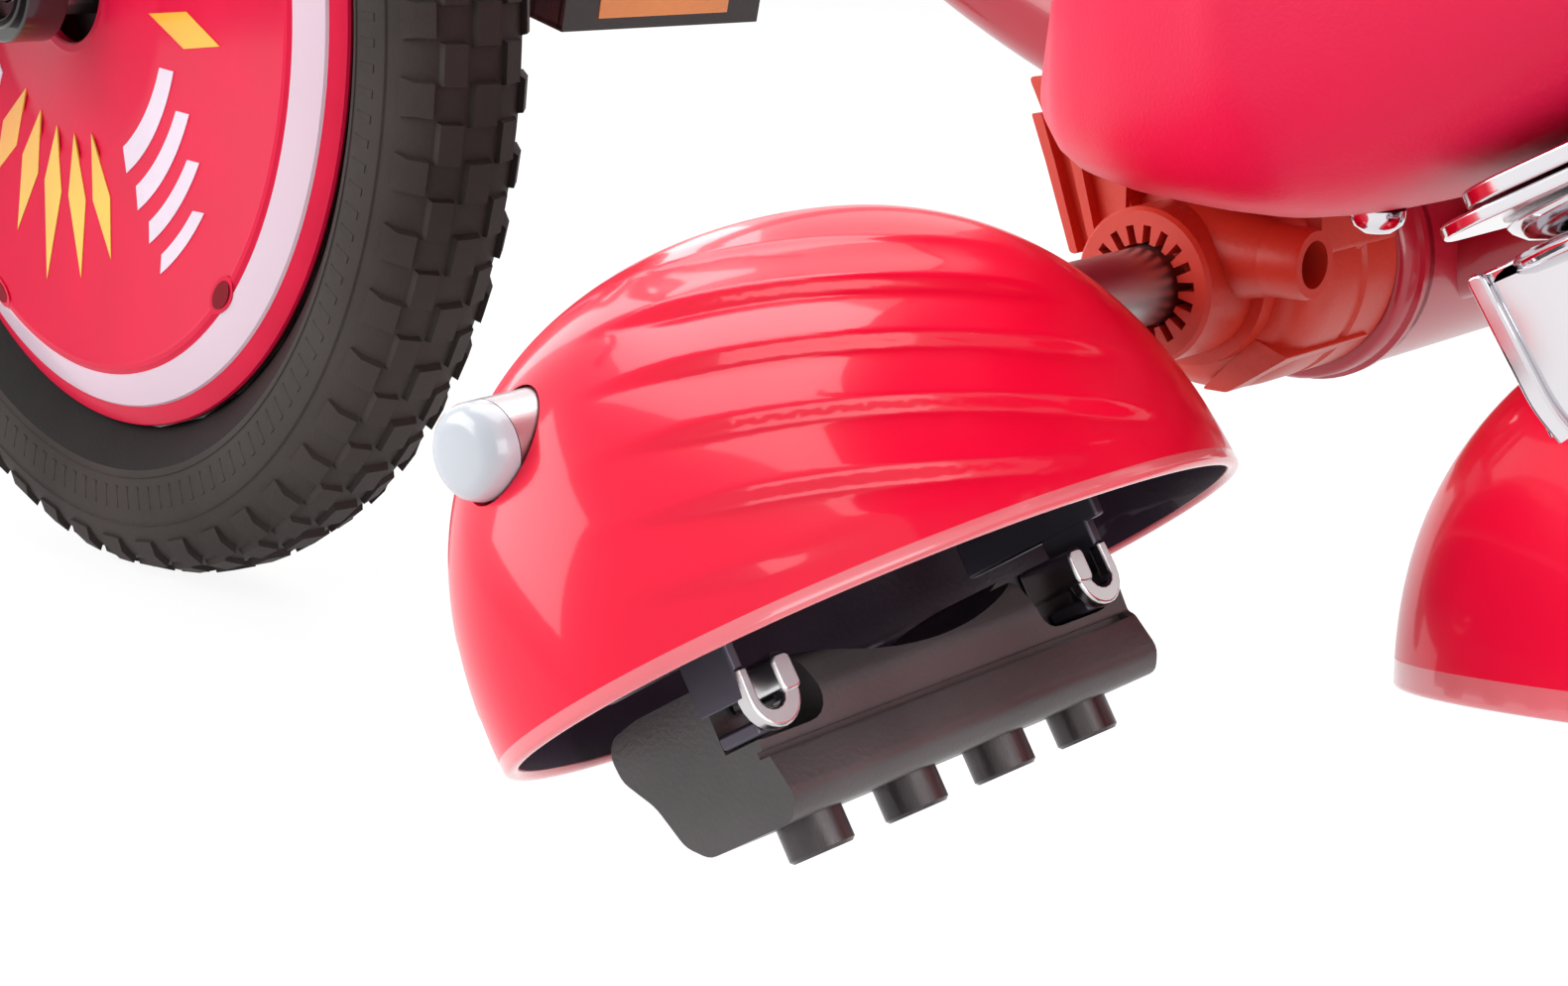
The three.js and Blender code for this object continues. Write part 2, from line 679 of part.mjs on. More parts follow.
function buildStem(parent) {
  const middle = (stemLow + stemHigh) / 2;
  const reachY = stemReach - forkOffset;
  const neck = block(
    -stemNeckWidth / 2, stemNeckWidth / 2, -forkOffset, reachY,
    middle - stemNeckHeight / 2, middle + stemNeckHeight / 2,
  );
  const clamp = moved(barX(barClampRadius, -barClampWidth / 2, barClampWidth / 2), 0, reachY, middle);
  const sleeve = moved(barZ(stemRadius, stemLow, stemHigh), 0, -forkOffset, 0);
  const steererHole = moved(
    barZ(steererRadius + fitGap, topNutLow - cutOverrun, stemHigh + cutOverrun), 0, -forkOffset, 0,
  );
  const barHole = moved(barX(handlebarRadius + bentFitGap, -barClampWidth, barClampWidth), 0, reachY, middle);
  addPiece(parent, 'stem', cut(join(neck, clamp, sleeve), steererHole, barHole), 'blackSteel');
  const capLow = stemHigh + fitGap;
  const cap = moved(barZ(stemCapRadius, capLow, capLow + stemCapHeight), 0, -forkOffset, 0);
  addPiece(parent, 'stem_cap', cap, 'blackPlastic');
  const nut = moved(barZ(topNutRadius, topNutLow, topNutLow + topNutHeight, hexSides), 0, -forkOffset, 0);
  addPiece(parent, 'fork_top_nut', cut(nut, steererHole), 'steel');
  return { reachY, middle };
}

function buildHandlebar(parent, clampY, clampZ) {
  const flat = handlebarFlat / 2;
  const shoulder = handlebarShoulder / 2;
  const end = handlebarWidth / 2;
  const half = [
    vector(flat, 0, 0), vector(shoulder, -handlebarSweep * shoulderSweepShare, handlebarRise),
    vector(end, -handlebarSweep, handlebarRise),
  ];
  const mirrored = half.map((point) => vector(-point.x, point.y, point.z)).reverse();
  const path = roundedPath([...mirrored, ...half], handlebarBendRadius);
  const tube = bentTube(path, handlebarRadius, bendSteps, roundSides);
  addPiece(parent, 'handlebar', moved(tube, 0, clampY, clampZ), 'blackSteel');
  for (const side of [-1, 1]) {
    const tip = half[2].clone().setX(side * end);
    const shoulderPoint = half[1].clone().setX(side * shoulder);
    const along = tip.clone().sub(shoulderPoint).normalize();
    const start = tip.clone().addScaledVector(along, -gripLength);
    const flangeEnd = start.clone().addScaledVector(along, gripFlangeWidth);
    const outerEnd = tip.clone().addScaledVector(along, fitGap + gripEndWall);
    const boreStart = start.clone().addScaledVector(along, -cutOverrun);
    const boreEnd = tip.clone().addScaledVector(along, fitGap);
    const grip = cut(
      join(barBetween(gripRadius, start, outerEnd), barBetween(gripFlangeRadius, start, flangeEnd)),
      barBetween(handlebarRadius + bentFitGap, boreStart, boreEnd),
    );
    addPiece(parent, side < 0 ? 'grip_left' : 'grip_right', moved(grip, 0, clampY, clampZ), 'rubberGrip');
  }
}

// The seat's section is swept along its spine, wider and deeper in the middle
function seatSection(k, inset) {
  const [lengthShare, heightShare] = seatSpineShares[k];
  const next = seatSpineShares[Math.min(k + 1, seatSpineShares.length - 1)];
  const last = seatSpineShares[Math.max(k - 1, 0)];
  const alongY = -(next[0] - last[0]) * seatLength;
  const alongZ = (next[1] - last[1]) * seatHeight;
  const size = Math.hypot(alongY, alongZ);
  const normal = vector(0, alongZ / size, -alongY / size);
  const spine = vector(0, seatFrontY - seatLength * lengthShare, seatBottomZ + seatHeight * heightShare);
  spine.addScaledVector(normal, inset);
  const halfWidth = seatHalfWidth * seatWidthShares[k] - inset;
  const rise = seatSideRise * seatSideShares[k];
  const row = [];
  const leftColumns = seatColumnDegrees.slice(1).reverse().map((degrees) => -degrees);
  for (const degrees of [...leftColumns, ...seatColumnDegrees]) {
    const turn = radians(degrees);
    const across = Math.abs(Math.sin(turn)) ** seatSquarePower;
    const upward = Math.cos(turn) ** seatSquarePower;
    const reach = (across + upward) ** (-1 / seatSquarePower);
    const x = halfWidth * reach * Math.sin(turn);
    const lift = rise * (1 - reach * Math.cos(turn));
    row.push(vector(x, 0, 0).add(spine).addScaledVector(normal, lift));
  }
  return row;
}

function seatLoft(outerInset, innerInset, rows) {
  const outer = [];
  const inner = [];
  for (let k = 0; k < rows; k += 1) {
    outer.push(seatSection(k, outerInset));
    inner.push(seatSection(k, innerInset));
  }
  const columns = outer[0].length;
  const positions = [...outer.flat(), ...inner.flat()].flatMap((point) => [point.x, point.y, point.z]);
  const index = [];
  const at = (layer, i, j) => layer * rows * columns + i * columns + j;
  const quad = (a, b, c, d) => index.push(a, b, c, a, c, d);
  for (let i = 0; i < rows - 1; i += 1) {
    for (let j = 0; j < columns - 1; j += 1) {
      quad(at(0, i, j), at(0, i, j + 1), at(0, i + 1, j + 1), at(0, i + 1, j));
      quad(at(1, i, j), at(1, i + 1, j), at(1, i + 1, j + 1), at(1, i, j + 1));
    }
    quad(at(0, i, 0), at(0, i + 1, 0), at(1, i + 1, 0), at(1, i, 0));
    quad(at(0, i, columns - 1), at(1, i, columns - 1), at(1, i + 1, columns - 1), at(0, i + 1, columns - 1));
  }
  for (let j = 0; j < columns - 1; j += 1) {
    quad(at(0, 0, j), at(1, 0, j), at(1, 0, j + 1), at(0, 0, j + 1));
    quad(at(0, rows - 1, j), at(0, rows - 1, j + 1), at(1, rows - 1, j + 1), at(1, rows - 1, j));
  }
  const loft = new THREE.BufferGeometry();
  loft.setAttribute('position', new THREE.Float32BufferAttribute(positions, 3));
  loft.setIndex(index);
  return loft;
}

// The sheet-metal saddle under the front of the seat, shaped to the seat's underside
function saddleSolid() {
  const front = saddleFront - wheelToCrossbar;
  const back = -saddleBack - wheelToCrossbar;
  const top = crossbarHeight + crossbarRadius + saddleHeight;
  const outline = [[back, crossbarHeight], [front, crossbarHeight], [front + saddleLean, top], [back, top]];
  const room = seatLoft(-fitGap, saddleCutDepth, Math.ceil(seatSpineShares.length / 2));
  const housingRoom = [-1, 1].map((side) => {
    const reach = side * (saddleHalfWidth + cutOverrun);
    const inner = side * crossbarHalfLength;
    return block(
      Math.min(inner, reach), Math.max(inner, reach), back - cutOverrun, front + saddleLean,
      crossbarHeight - cutOverrun, crossbarHeight + housingRadius + fitGap,
    );
  });
  return cut(slabX(outline, -saddleHalfWidth, saddleHalfWidth), room, ...housingRoom);
}

// Frame: head tube, main tube, crossbar, saddle, rear rails and the plate over the casters
const casterFrame = new THREE.Matrix4().makeRotationX(-casterLean).setPosition(0, casterPivotY, casterPivotZ);
const fromCaster = (x, y, z) => vector(x, y, z).applyMatrix4(casterFrame);

function mainTubeSolid() {
  const top = vector(0, 0, headTubeHigh - mainTubeHeadDrop).applyMatrix4(headGroup.matrix);
  const bend = vector(0, mainTubeBendY, mainTubeBendZ);
  const end = vector(0, -wheelToCrossbar, crossbarHeight - mainTubeEndDrop);
  return bentTube(roundedPath([top, bend, end], mainTubeBend), mainTubeRadius, bendSteps / 2, roundSides);
}

function buildFrame(parent) {
  const headTube = barZ(headTubeRadius, headTubeLow, headTubeHigh).applyMatrix4(headGroup.matrix);
  const headBore = barZ(headTubeBoreRadius, headTubeLow - cutOverrun, headTubeHigh + cutOverrun);
  const crossbar = barX(crossbarRadius, -crossbarHalfLength, crossbarHalfLength);
  const rearPlate = block(
    -rearPlateHalfWidth, rearPlateHalfWidth, -rearPlateBack, rearPlateFront,
    rearPlateLow, rearPlateLow + rearPlateThickness,
  ).applyMatrix4(casterFrame);
  const rails = [-1, 1].map((side) => barBetween(
    railRadius,
    vector(side * railOffset, -wheelToCrossbar, crossbarHeight - railDrop),
    fromCaster(side * railOffset, railEndForward, rearPlateLow + rearPlateThickness / 2 - railRadius),
  ));
  const placedCrossbar = moved(crossbar, 0, -wheelToCrossbar, crossbarHeight);
  const crossBore = barX(crossbarBoreRadius, -crossbarHalfLength - cutOverrun, crossbarHalfLength + cutOverrun);
  const boltHoles = [-1, 1].map((side) => (
    moved(barZ(seatBoltRadius + fitGap, 0, casterCupRadius, smallSides), side * seatBoltX, -seatBoltBack, 0)
      .applyMatrix4(casterFrame)
  ));
  const weldment = cut(
    join(headTube, mainTubeSolid(), placedCrossbar, saddleSolid(), rearPlate, ...rails),
    ...boltHoles,
    headBore.applyMatrix4(headGroup.matrix),
    moved(crossBore, 0, -wheelToCrossbar, crossbarHeight),
  );
  addPiece(parent, 'frame', weldment, 'frameRed');
  const lower = ringZ(cupRadius, steererRadius + runningGap, lowerCupLow, lowerCupLow + lowerCupHeight);
  addPiece(headGroup, 'headset_lower_cup', lower, 'steel');
  const upper = ringZ(cupRadius, steererRadius + runningGap, upperCupLow, upperCupLow + upperCupHeight);
  addPiece(headGroup, 'headset_upper_cup', upper, 'steel');
}

// Seat shell and its bolts
function buildSeat(parent) {
  const boltX = (side) => side * seatBoltX;
  const boltHole = barZ(seatBoltRadius + fitGap, -cutOverrun, casterCupRadius, smallSides);
  const boltHoles = [-1, 1].map((side) => (
    moved(boltHole, boltX(side), -seatBoltBack, 0).applyMatrix4(casterFrame)
  ));
  const shell = seatLoft(0, seatThickness, seatSpineShares.length);
  addPiece(parent, 'seat_shell', cut(shell, ...boltHoles), 'seatRed');

  const headTop = casterPlateThickness;
  const shankTop = headTop + fitGap + rearPlateThickness + seatThickness + seatBoltEnd;
  for (const side of [-1, 1]) {
    const bolt = join(
      barZ(seatBoltHeadRadius, headTop - seatBoltHeadHeight, headTop, hexSides),
      barZ(seatBoltRadius, headTop - seatBoltHeadHeight / 2, shankTop, smallSides),
    );
    const placed = moved(bolt, boltX(side), -seatBoltBack, 0).applyMatrix4(casterFrame);
    addPiece(parent, side < 0 ? 'seat_bolt_left' : 'seat_bolt_right', placed, 'steel');
  }
}

// Bar housing, bush and spring, built on the left side
function buildHousing(parent, word) {
  const bodyEnd = -housingEndX + housingBossLength;
  const innerEnd = -crossbarHalfLength - fitGap;
  const round = housingShoulderRound;
  const diagonal = round * (1 - Math.SQRT1_2);
  const profile = [
    [0, -housingEndX], [housingBossRadius, -housingEndX], [housingBossRadius, bodyEnd],
    [housingRadius - diagonal, bodyEnd + diagonal], [housingRadius, bodyEnd + round],
    [housingRadius, innerEnd], [0, innerEnd],
  ];
  const webOutline = [[-webBack, webLow], [webFront, webLow], [webFront + webLean, webTop], [-webBack, webTop]];
  const webOuter = bodyEnd + webInset;
  const web = slabX(webOutline, webOuter, innerEnd);
  const ribs = [];
  for (let i = 0; i < ribCount; i += 1) {
    const y = webFront - i * ribPitch;
    const outline = [
      [y - ribThickness, webLow], [y, webLow], [y + webLean, webTop], [y + webLean - ribThickness, webTop],
    ];
    ribs.push(slabX(outline, webOuter - ribReach, webOuter + ribThickness));
  }
  const along = new THREE.Matrix4().makeRotationX(-Math.PI / 2);
  const boss = barZ(screwBossRadius, 0, screwBossReach, smallSides).applyMatrix4(along.clone().invert());
  const bossHole = barZ(
    screwBossHoleRadius, screwBossReach - cutOverrun, screwBossReach + cutOverrun, smallSides,
  );
  const notches = [];
  for (let i = 0; i < notchCount; i += 1) {
    const turn = 2 * Math.PI * i / notchCount;
    const notch = block(
      -housingEndX - cutOverrun, notchDepth - housingEndX, 0, notchOuterRadius, -notchWidth / 2, notchWidth / 2,
    );
    notches.push(notch.rotateX(turn));
  }
  const cavity = barX(housingCavityRadius, bodyEnd + housingWall, innerEnd + cutOverrun);
  const barHole = barX(sparkBarRadius + runningGap, -housingEndX - cutOverrun, 0);
  const housing = cut(
    join(latheX(profile), web, ...ribs, moved(boss, -screwBossX, 0, screwBossRaise)),
    cavity, barHole, ...notches,
    moved(bossHole.applyMatrix4(along.clone().invert()), -screwBossX, 0, screwBossRaise),
  );
  addPiece(parent, `bar_housing_${word}`, housing, 'housingOrange');
  const bushLow = -crossbarHalfLength + fitGap;
  const bush = ringX(crossbarBoreRadius - fitGap, sparkBarRadius + runningGap, bushLow, bushLow + bushWidth);
  addPiece(parent, `bar_bush_${word}`, bush, 'blackPlastic');
  const springLow = bodyEnd + housingWall + fitGap;
  const spring = ringX(springRadius, springRadius - springWire, springLow, springLow + springLength);
  addPiece(parent, `return_spring_${word}`, spring, 'steel');
}

// Spark bar with its pad, built on the left side round the bar's axis
function buildSparkBar(parent, word) {
  const tubeEnd = -sparkBarEndX + endCapLength;
  const boreRadius = sparkBarRadius - sparkBarWall;
  addPiece(parent, `spark_bar_${word}`, ringX(sparkBarRadius, boreRadius, tubeEnd, -sparkBarInnerX), 'steel');
  const spigotRadius = boreRadius - fitGap;
  const capProfile = [
    [0, -sparkBarEndX], [sparkBarRadius - endCapRound, -sparkBarEndX],
    [sparkBarRadius - endCapRound * (1 - Math.SQRT1_2), -sparkBarEndX + endCapRound * (1 - Math.SQRT1_2)],
    [sparkBarRadius, -sparkBarEndX + endCapRound], [sparkBarRadius, tubeEnd - fitGap],
    [spigotRadius, tubeEnd - fitGap], [spigotRadius, tubeEnd + endCapSpigot], [0, tubeEnd + endCapSpigot],
  ];
  addPiece(parent, `bar_end_cap_${word}`, latheX(capProfile), 'steel');

  const pad = addGroup(parent, -padCentreX, 0, 0);
  pad.rotation.x = -radians(padTiltDegrees);
  const dome = domeShell(domeHalfLength, domeHalfWidth, domeHeight);
  dome.rotateX(-radians(domeExtraTiltDegrees)).translate(-domeShift, 0, -domeRimDrop);
  const barHole = barX(sparkBarRadius + fitGap, -housingEndX, housingEndX);
  addPiece(pad, `palm_dome_${word}`, cut(dome, barHole), 'domeRed');

  const wall = holderThickness;
  const topZ = -holderTop;
  const plate = block(-holderOuterSpan, holderInnerSpan, -holderBack, holderFront, topZ - wall, topZ);
  const collar = barX(sparkBarRadius + fitGap + wall, -holderOuterSpan, holderInnerSpan);
  const parts = [plate, collar];
  for (const side of [-1, 1]) {
    const span = (low, high) => (side < 0 ? [-high, -low] : [low, high]);
    const outerX = side < 0 ? holderOuterSpan : holderInnerSpan;
    const hookX = outerX - wall;
    parts.push(block(...span(hookX, outerX), -holderBack, holderFront, -holderSideDepth, topZ));
    const strapFront = holderHookWidth - holderBack;
    parts.push(block(...span(hookX, outerX), -holderBack, strapFront, -hookDepth + hookRadius, topZ));
    const curl = [];
    const centreX = outerX - hookRadius;
    for (let i = 0; i <= curlSteps; i += 1) {
      const turn = Math.PI * i / curlSteps;
      curl.push([centreX + hookRadius * Math.cos(turn), -hookDepth + hookRadius - hookRadius * Math.sin(turn)]);
    }
    curl.push([centreX - hookRadius, -hookTip]);
    curl.push([centreX - hookRadius + wall, -hookTip]);
    for (let i = curlSteps; i >= 0; i -= 1) {
      const turn = Math.PI * i / curlSteps;
      const inner = hookRadius - wall;
      curl.push([centreX + inner * Math.cos(turn), -hookDepth + hookRadius - inner * Math.sin(turn)]);
    }
    const shape = new THREE.Shape(curl.map(([x, z]) => new THREE.Vector2(side * x, z)));
    const hook = new THREE.ExtrudeGeometry(shape, { depth: holderHookWidth, bevelEnabled: false });
    hook.rotateX(Math.PI / 2).translate(0, holderHookWidth - holderBack, 0);
    parts.push(hook);
  }
  const holder = cut(join(...parts), barX(sparkBarRadius + fitGap, -housingEndX, housingEndX));
  addPiece(pad, `pad_holder_${word}`, holder, 'steel');

  const outline = cartridgeOutlineShares.map(([depthShare, heightShare]) => (
    [-cartridgeRear + cartridgeDepth * depthShare, -cartridgeBottom + cartridgeHeight * heightShare]
  ));
  const half = cartridgeLength / 2;
  const tools = [];
  const cartridgeTop = cartridgeHeight - cartridgeBottom;
  for (const side of [-1, 1]) {
    const outerX = (side < 0 ? holderOuterSpan : holderInnerSpan) + fitGap;
    const xs = side < 0 ? [-outerX, -outerX + recessWidth] : [outerX - recessWidth, outerX];
    const recessDepth = hookDepth + fitGap;
    const recessFront = holderHookWidth - holderBack + fitGap;
    tools.push(block(...xs, -holderBack - cutOverrun, recessFront, -recessDepth, cartridgeTop + cutOverrun));
  }
  const dipRadius = (half - recessWidth) ** 2 / (2 * saddleDip);
  const dip = barZ(dipRadius, 0, cartridgeDepth + 2 * cutOverrun, wheelSides);
  dip.rotateX(-Math.PI / 2).translate(0, -cartridgeRear - cutOverrun, cartridgeTop + dipRadius - saddleDip);
  tools.push(dip);
  const flintX = (i) => (i - (flintCount - 1) / 2) * flintPitch;
  const flints = [];
  const pocketTop = -cartridgeBottom + flintPocketDepth;
  for (let i = 0; i < flintCount; i += 1) {
    const pocket = barZ(flintRadius + fitGap, -cartridgeBottom - cutOverrun, pocketTop);
    tools.push(moved(pocket, flintX(i), flintCentre, 0));
    const flint = barZ(flintRadius, -cartridgeBottom - flintReach, pocketTop - fitGap);
    flints.push(moved(flint, flintX(i), flintCentre, 0));
  }
  const stripHalf = flintX(flintCount - 1);
  const strip = (gap) => block(
    -stripHalf, stripHalf, flintCentre - flintStripWidth / 2 - gap, flintCentre + flintStripWidth / 2 + gap,
    pocketTop - fitGap - flintStripThickness - gap, pocketTop - fitGap + gap,
  );
  tools.push(strip(fitGap));
  addPiece(pad, `spark_cartridge_${word}`, cut(slabX(outline, -half, half), ...tools), 'cartridgeBlack');
  addPiece(pad, `spark_flints_${word}`, join(...flints, strip(0)), 'flintGrey');
}

// Caster, built in its own leaning frame with the swivel axis along Z
function buildCaster(parent, word) {
  const frame = addGroup(parent, -casterX, casterPivotY, casterPivotZ);
  frame.rotation.x = -casterLean;
  const halfPlate = casterPlateLength / 2;
  const plate = roundedPlate(
    casterPlateWidth / 2, -halfPlate, halfPlate, casterPlateCorner, 0, casterPlateThickness,
  );
  const cup = latheZ([
    [0, -casterCupHeight], [casterCupEdge, -casterCupHeight], [casterCupRadius, -casterCupHeight / 2],
    [casterCupRadius, 0], [0, 0],
  ]);
  const crownLowZ = -casterCupHeight - fitGap - casterCrownThickness;
  const pinEnd = crownLowZ - fitGap - kingpinNutHeight;
  const pin = barZ(kingpinRadius, pinEnd, -casterCupHeight / 2, smallSides);
  const nut = barZ(kingpinNutRadius, pinEnd, crownLowZ - fitGap, hexSides);
  addPiece(frame, `caster_plate_${word}`, join(plate, cup, pin, nut), 'chrome');

  const crown = ringZ(
    casterCrownRadius, kingpinRadius + runningGap, crownLowZ, crownLowZ + casterCrownThickness,
  );
  const drop = (casterPivotZ + casterOffset * Math.sin(casterLean) - casterWheelRadius) / Math.cos(casterLean);
  const legTop = crownLowZ + casterCrownThickness;
  const legOutline = (gap) => [
    [casterLegFront + gap, legTop], [-casterLegBack - gap, legTop],
    [-casterOffset - casterLegEndRadius - gap, -drop + casterLegEndRadius],
    [-casterOffset - casterLegEndRadius - gap, -drop],
    [-casterOffset - casterLegEndRadius / 2, -drop - casterLegEndRadius],
    [-casterOffset + casterLegEndRadius / 2, -drop - casterLegEndRadius],
    [-casterOffset + casterLegEndRadius + gap, -drop], [casterLegFront + gap, -drop / 2],
  ];
  const legsAt = (gap) => [-1, 1].map((side) => {
    const middle = side * (casterLegOuter - casterLegThickness / 2);
    const half = casterLegThickness / 2 + gap;
    return slabX(legOutline(gap), middle - half, middle + half);
  });
  const placeAxle = (geometry) => moved(geometry, 0, -casterOffset, -drop);
  const legReach = casterLegOuter + cutOverrun;
  const axleHole = placeAxle(barX(casterAxleRadius + fitGap, -legReach, legReach, smallSides));
  const pinHole = barZ(kingpinRadius + runningGap, crownLowZ - cutOverrun, 0);
  const fork = cut(join(crown, ...legsAt(0)), pinHole, axleHole);
  addPiece(frame, `caster_fork_${word}`, fork, 'chrome');
  const headLow = casterLegOuter + fitGap;
  const axle = join(
    barX(casterAxleRadius, -headLow - casterAxleHeadHeight / 2, headLow + casterAxleHeadHeight / 2, smallSides),
    barX(casterAxleHeadRadius, -headLow - casterAxleHeadHeight, -headLow, hexSides),
    barX(casterAxleHeadRadius, headLow, headLow + casterAxleHeadHeight, hexSides),
  );
  addPiece(frame, `caster_axle_${word}`, placeAxle(axle), 'steel');
  const coreRadius = casterWheelRadius - casterTreadThickness;
  const halfWidth = casterWheelWidth / 2;
  const tyre = [
    [coreRadius + fitGap, -halfWidth], [casterWheelRadius - halfWidth * treadRoundShare, -halfWidth],
    [casterWheelRadius, -halfWidth * (1 - treadRoundShare)],
    [casterWheelRadius, halfWidth * (1 - treadRoundShare)],
    [casterWheelRadius - halfWidth * treadRoundShare, halfWidth], [coreRadius + fitGap, halfWidth],
    [coreRadius + fitGap, -halfWidth],
  ];
  addPiece(frame, `caster_tyre_${word}`, placeAxle(latheX(tyre, casterSides)), 'tyreRubber');
  const core = ringX(coreRadius, casterAxleRadius + casterBoreGap, -halfWidth, halfWidth, casterSides);
  const hub = ringX(
    casterAxleHeadRadius + casterBoreGap, casterAxleRadius + casterBoreGap,
    -casterCoreWidth / 2, casterCoreWidth / 2, casterSides,
  );
  addPiece(frame, `caster_core_${word}`, placeAxle(join(core, hub)), 'cartridgeBlack');

  frame.updateMatrix();
  const fender = domeShell(fenderHalfLength, fenderHalfWidth, fenderHeight).rotateZ(Math.PI / 2);
  fender.rotateY(radians(fenderRollDegrees)).rotateX(-radians(fenderLeanDegrees));
  fender.translate(fenderInset - casterX, casterPivotY - fenderBack, fenderRimZ);
  fender.applyMatrix4(frame.matrix.clone().invert());
  const roomHalf = halfWidth + fenderClearance;
  const wheelRoom = placeAxle(barX(casterWheelRadius + fenderClearance, -roomHalf, roomHalf, casterSides));
  const nutRoom = barZ(kingpinNutRadius + fenderClearance, pinEnd - fenderClearance, crownLowZ);
  addPiece(frame, `caster_fender_${word}`, cut(fender, ...legsAt(fitGap), wheelRoom, nutRoom), 'domeRed');
}

buildFrontWheel(forkGroup);
buildCrank(forkGroup, -1);
buildCrank(forkGroup, 1);
buildFork(forkGroup);
const clampPlace = buildStem(forkGroup);
buildHandlebar(forkGroup, clampPlace.reachY, clampPlace.middle);
buildFrame(trike);
buildSeat(trike);
for (const word of ['left', 'right']) {
  const sideGroup = addGroup(trike);
  sideGroup.scale.x = word === 'left' ? 1 : -1;
  const barGroup = addGroup(sideGroup, 0, -wheelToCrossbar, crossbarHeight);
  buildHousing(barGroup, word);
  buildSparkBar(barGroup, word);
  buildCaster(sideGroup, word);
}

// The origin is on the ground below the middle of the outline
trike.updateMatrixWorld(true);
const outlineBox = new THREE.Box3().setFromObject(trike, true);
const outlineCentre = outlineBox.getCenter(vector(0, 0, 0));
trike.position.set(-outlineCentre.x, -outlineCentre.y, -outlineBox.min.z);
trike.updateMatrixWorld(true);

export default trike;
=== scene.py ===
# The looks of the drift trike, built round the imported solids. Metres, in the CAD frame.
import math
import bpy
import bmesh
import numpy as np
from mathutils import Matrix, Vector

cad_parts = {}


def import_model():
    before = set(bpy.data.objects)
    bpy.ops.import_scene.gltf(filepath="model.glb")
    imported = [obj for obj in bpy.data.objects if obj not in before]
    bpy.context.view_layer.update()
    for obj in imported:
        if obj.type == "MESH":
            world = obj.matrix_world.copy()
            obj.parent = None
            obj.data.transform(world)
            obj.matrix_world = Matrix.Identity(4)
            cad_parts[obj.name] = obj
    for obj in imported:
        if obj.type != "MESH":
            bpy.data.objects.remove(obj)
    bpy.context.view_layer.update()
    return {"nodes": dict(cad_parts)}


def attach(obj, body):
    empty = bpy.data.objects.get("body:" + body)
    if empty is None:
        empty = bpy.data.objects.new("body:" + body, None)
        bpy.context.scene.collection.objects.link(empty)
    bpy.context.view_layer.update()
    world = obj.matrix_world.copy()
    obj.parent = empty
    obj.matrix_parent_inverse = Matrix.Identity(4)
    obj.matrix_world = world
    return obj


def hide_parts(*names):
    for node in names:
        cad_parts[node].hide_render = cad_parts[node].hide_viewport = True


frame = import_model()

MM = 0.001
SIDES = ((-1, "left"), (1, "right"))

# Sizes that the pieces are built on, in millimetres and degrees
AXLE_Y, FLOOR_GAP = 301.789, 0.144
HEAD_Y, HEAD_Z, HEAD_LEAN = 280.270, 198.570, 12
FORK_OFFSET, REST_STEER = 22, -7.6
CLAMP_Y, CLAMP_Z = 24, 392.5
CRANK_LENGTH, LEFT_CRANK_ANGLE = 112, -14
CROSSBAR_Y, BAR_Z = -495, 175
PAD_X, PAD_TURN = -227.6, -31.5
CASTER_X, CASTER_Y, CASTER_Z, CASTER_LEAN = -152, -614, 213, 28
CASTER_TRAIL, CASTER_RADIUS = 40, 72
CASTER_DROP = ((CASTER_Z + CASTER_TRAIL * math.sin(math.radians(CASTER_LEAN)) - CASTER_RADIUS)
               / math.cos(math.radians(CASTER_LEAN)))
SEAT_Y, SEAT_Z, SEAT_LENGTH, SEAT_HEIGHT = -441, 200, 324, 226
SEAT_HALF, SEAT_DEPTH, SEAT_WALL = 205, 130, 4
BOLT_SPREAD, BOLT_Y = 15, -10
COVER_HOLE, COVER_SHOULDER, COVER_EDGE = 22, 132, 149.4
COVER_FACE, COVER_CROWN, COVER_BULGE = 22, 2, 8
RECESS_RADIUS, RECESS_ANGLE, RECESSES = 129.5, -145.2, 5


# Local frames, in millimetres, as in the CAD source
def place(x, y, z, turn_x=0.0):
    return Matrix.Translation((x, y, z)) @ Matrix.Rotation(math.radians(turn_x), 4, "X")


HEAD = place(0, HEAD_Y, HEAD_Z, HEAD_LEAN)
FORK = HEAD @ Matrix.Rotation(math.radians(REST_STEER), 4, "Z") @ Matrix.Translation((0, FORK_OFFSET, 0))
ROW = Matrix.Translation((0, AXLE_Y, FLOOR_GAP))
BAR = place(0, CROSSBAR_Y + AXLE_Y, BAR_Z + FLOOR_GAP)
PAD = place(PAD_X, CROSSBAR_Y + AXLE_Y, BAR_Z + FLOOR_GAP, PAD_TURN)
CASTER = place(CASTER_X, CASTER_Y + AXLE_Y, CASTER_Z + FLOOR_GAP, -CASTER_LEAN)


# Materials
def new_node(tree, kind, **values):
    node = tree.nodes.new("ShaderNode" + kind)
    for label, value in values.items():
        node.inputs[label.replace("_", " ")].default_value = value
    return node


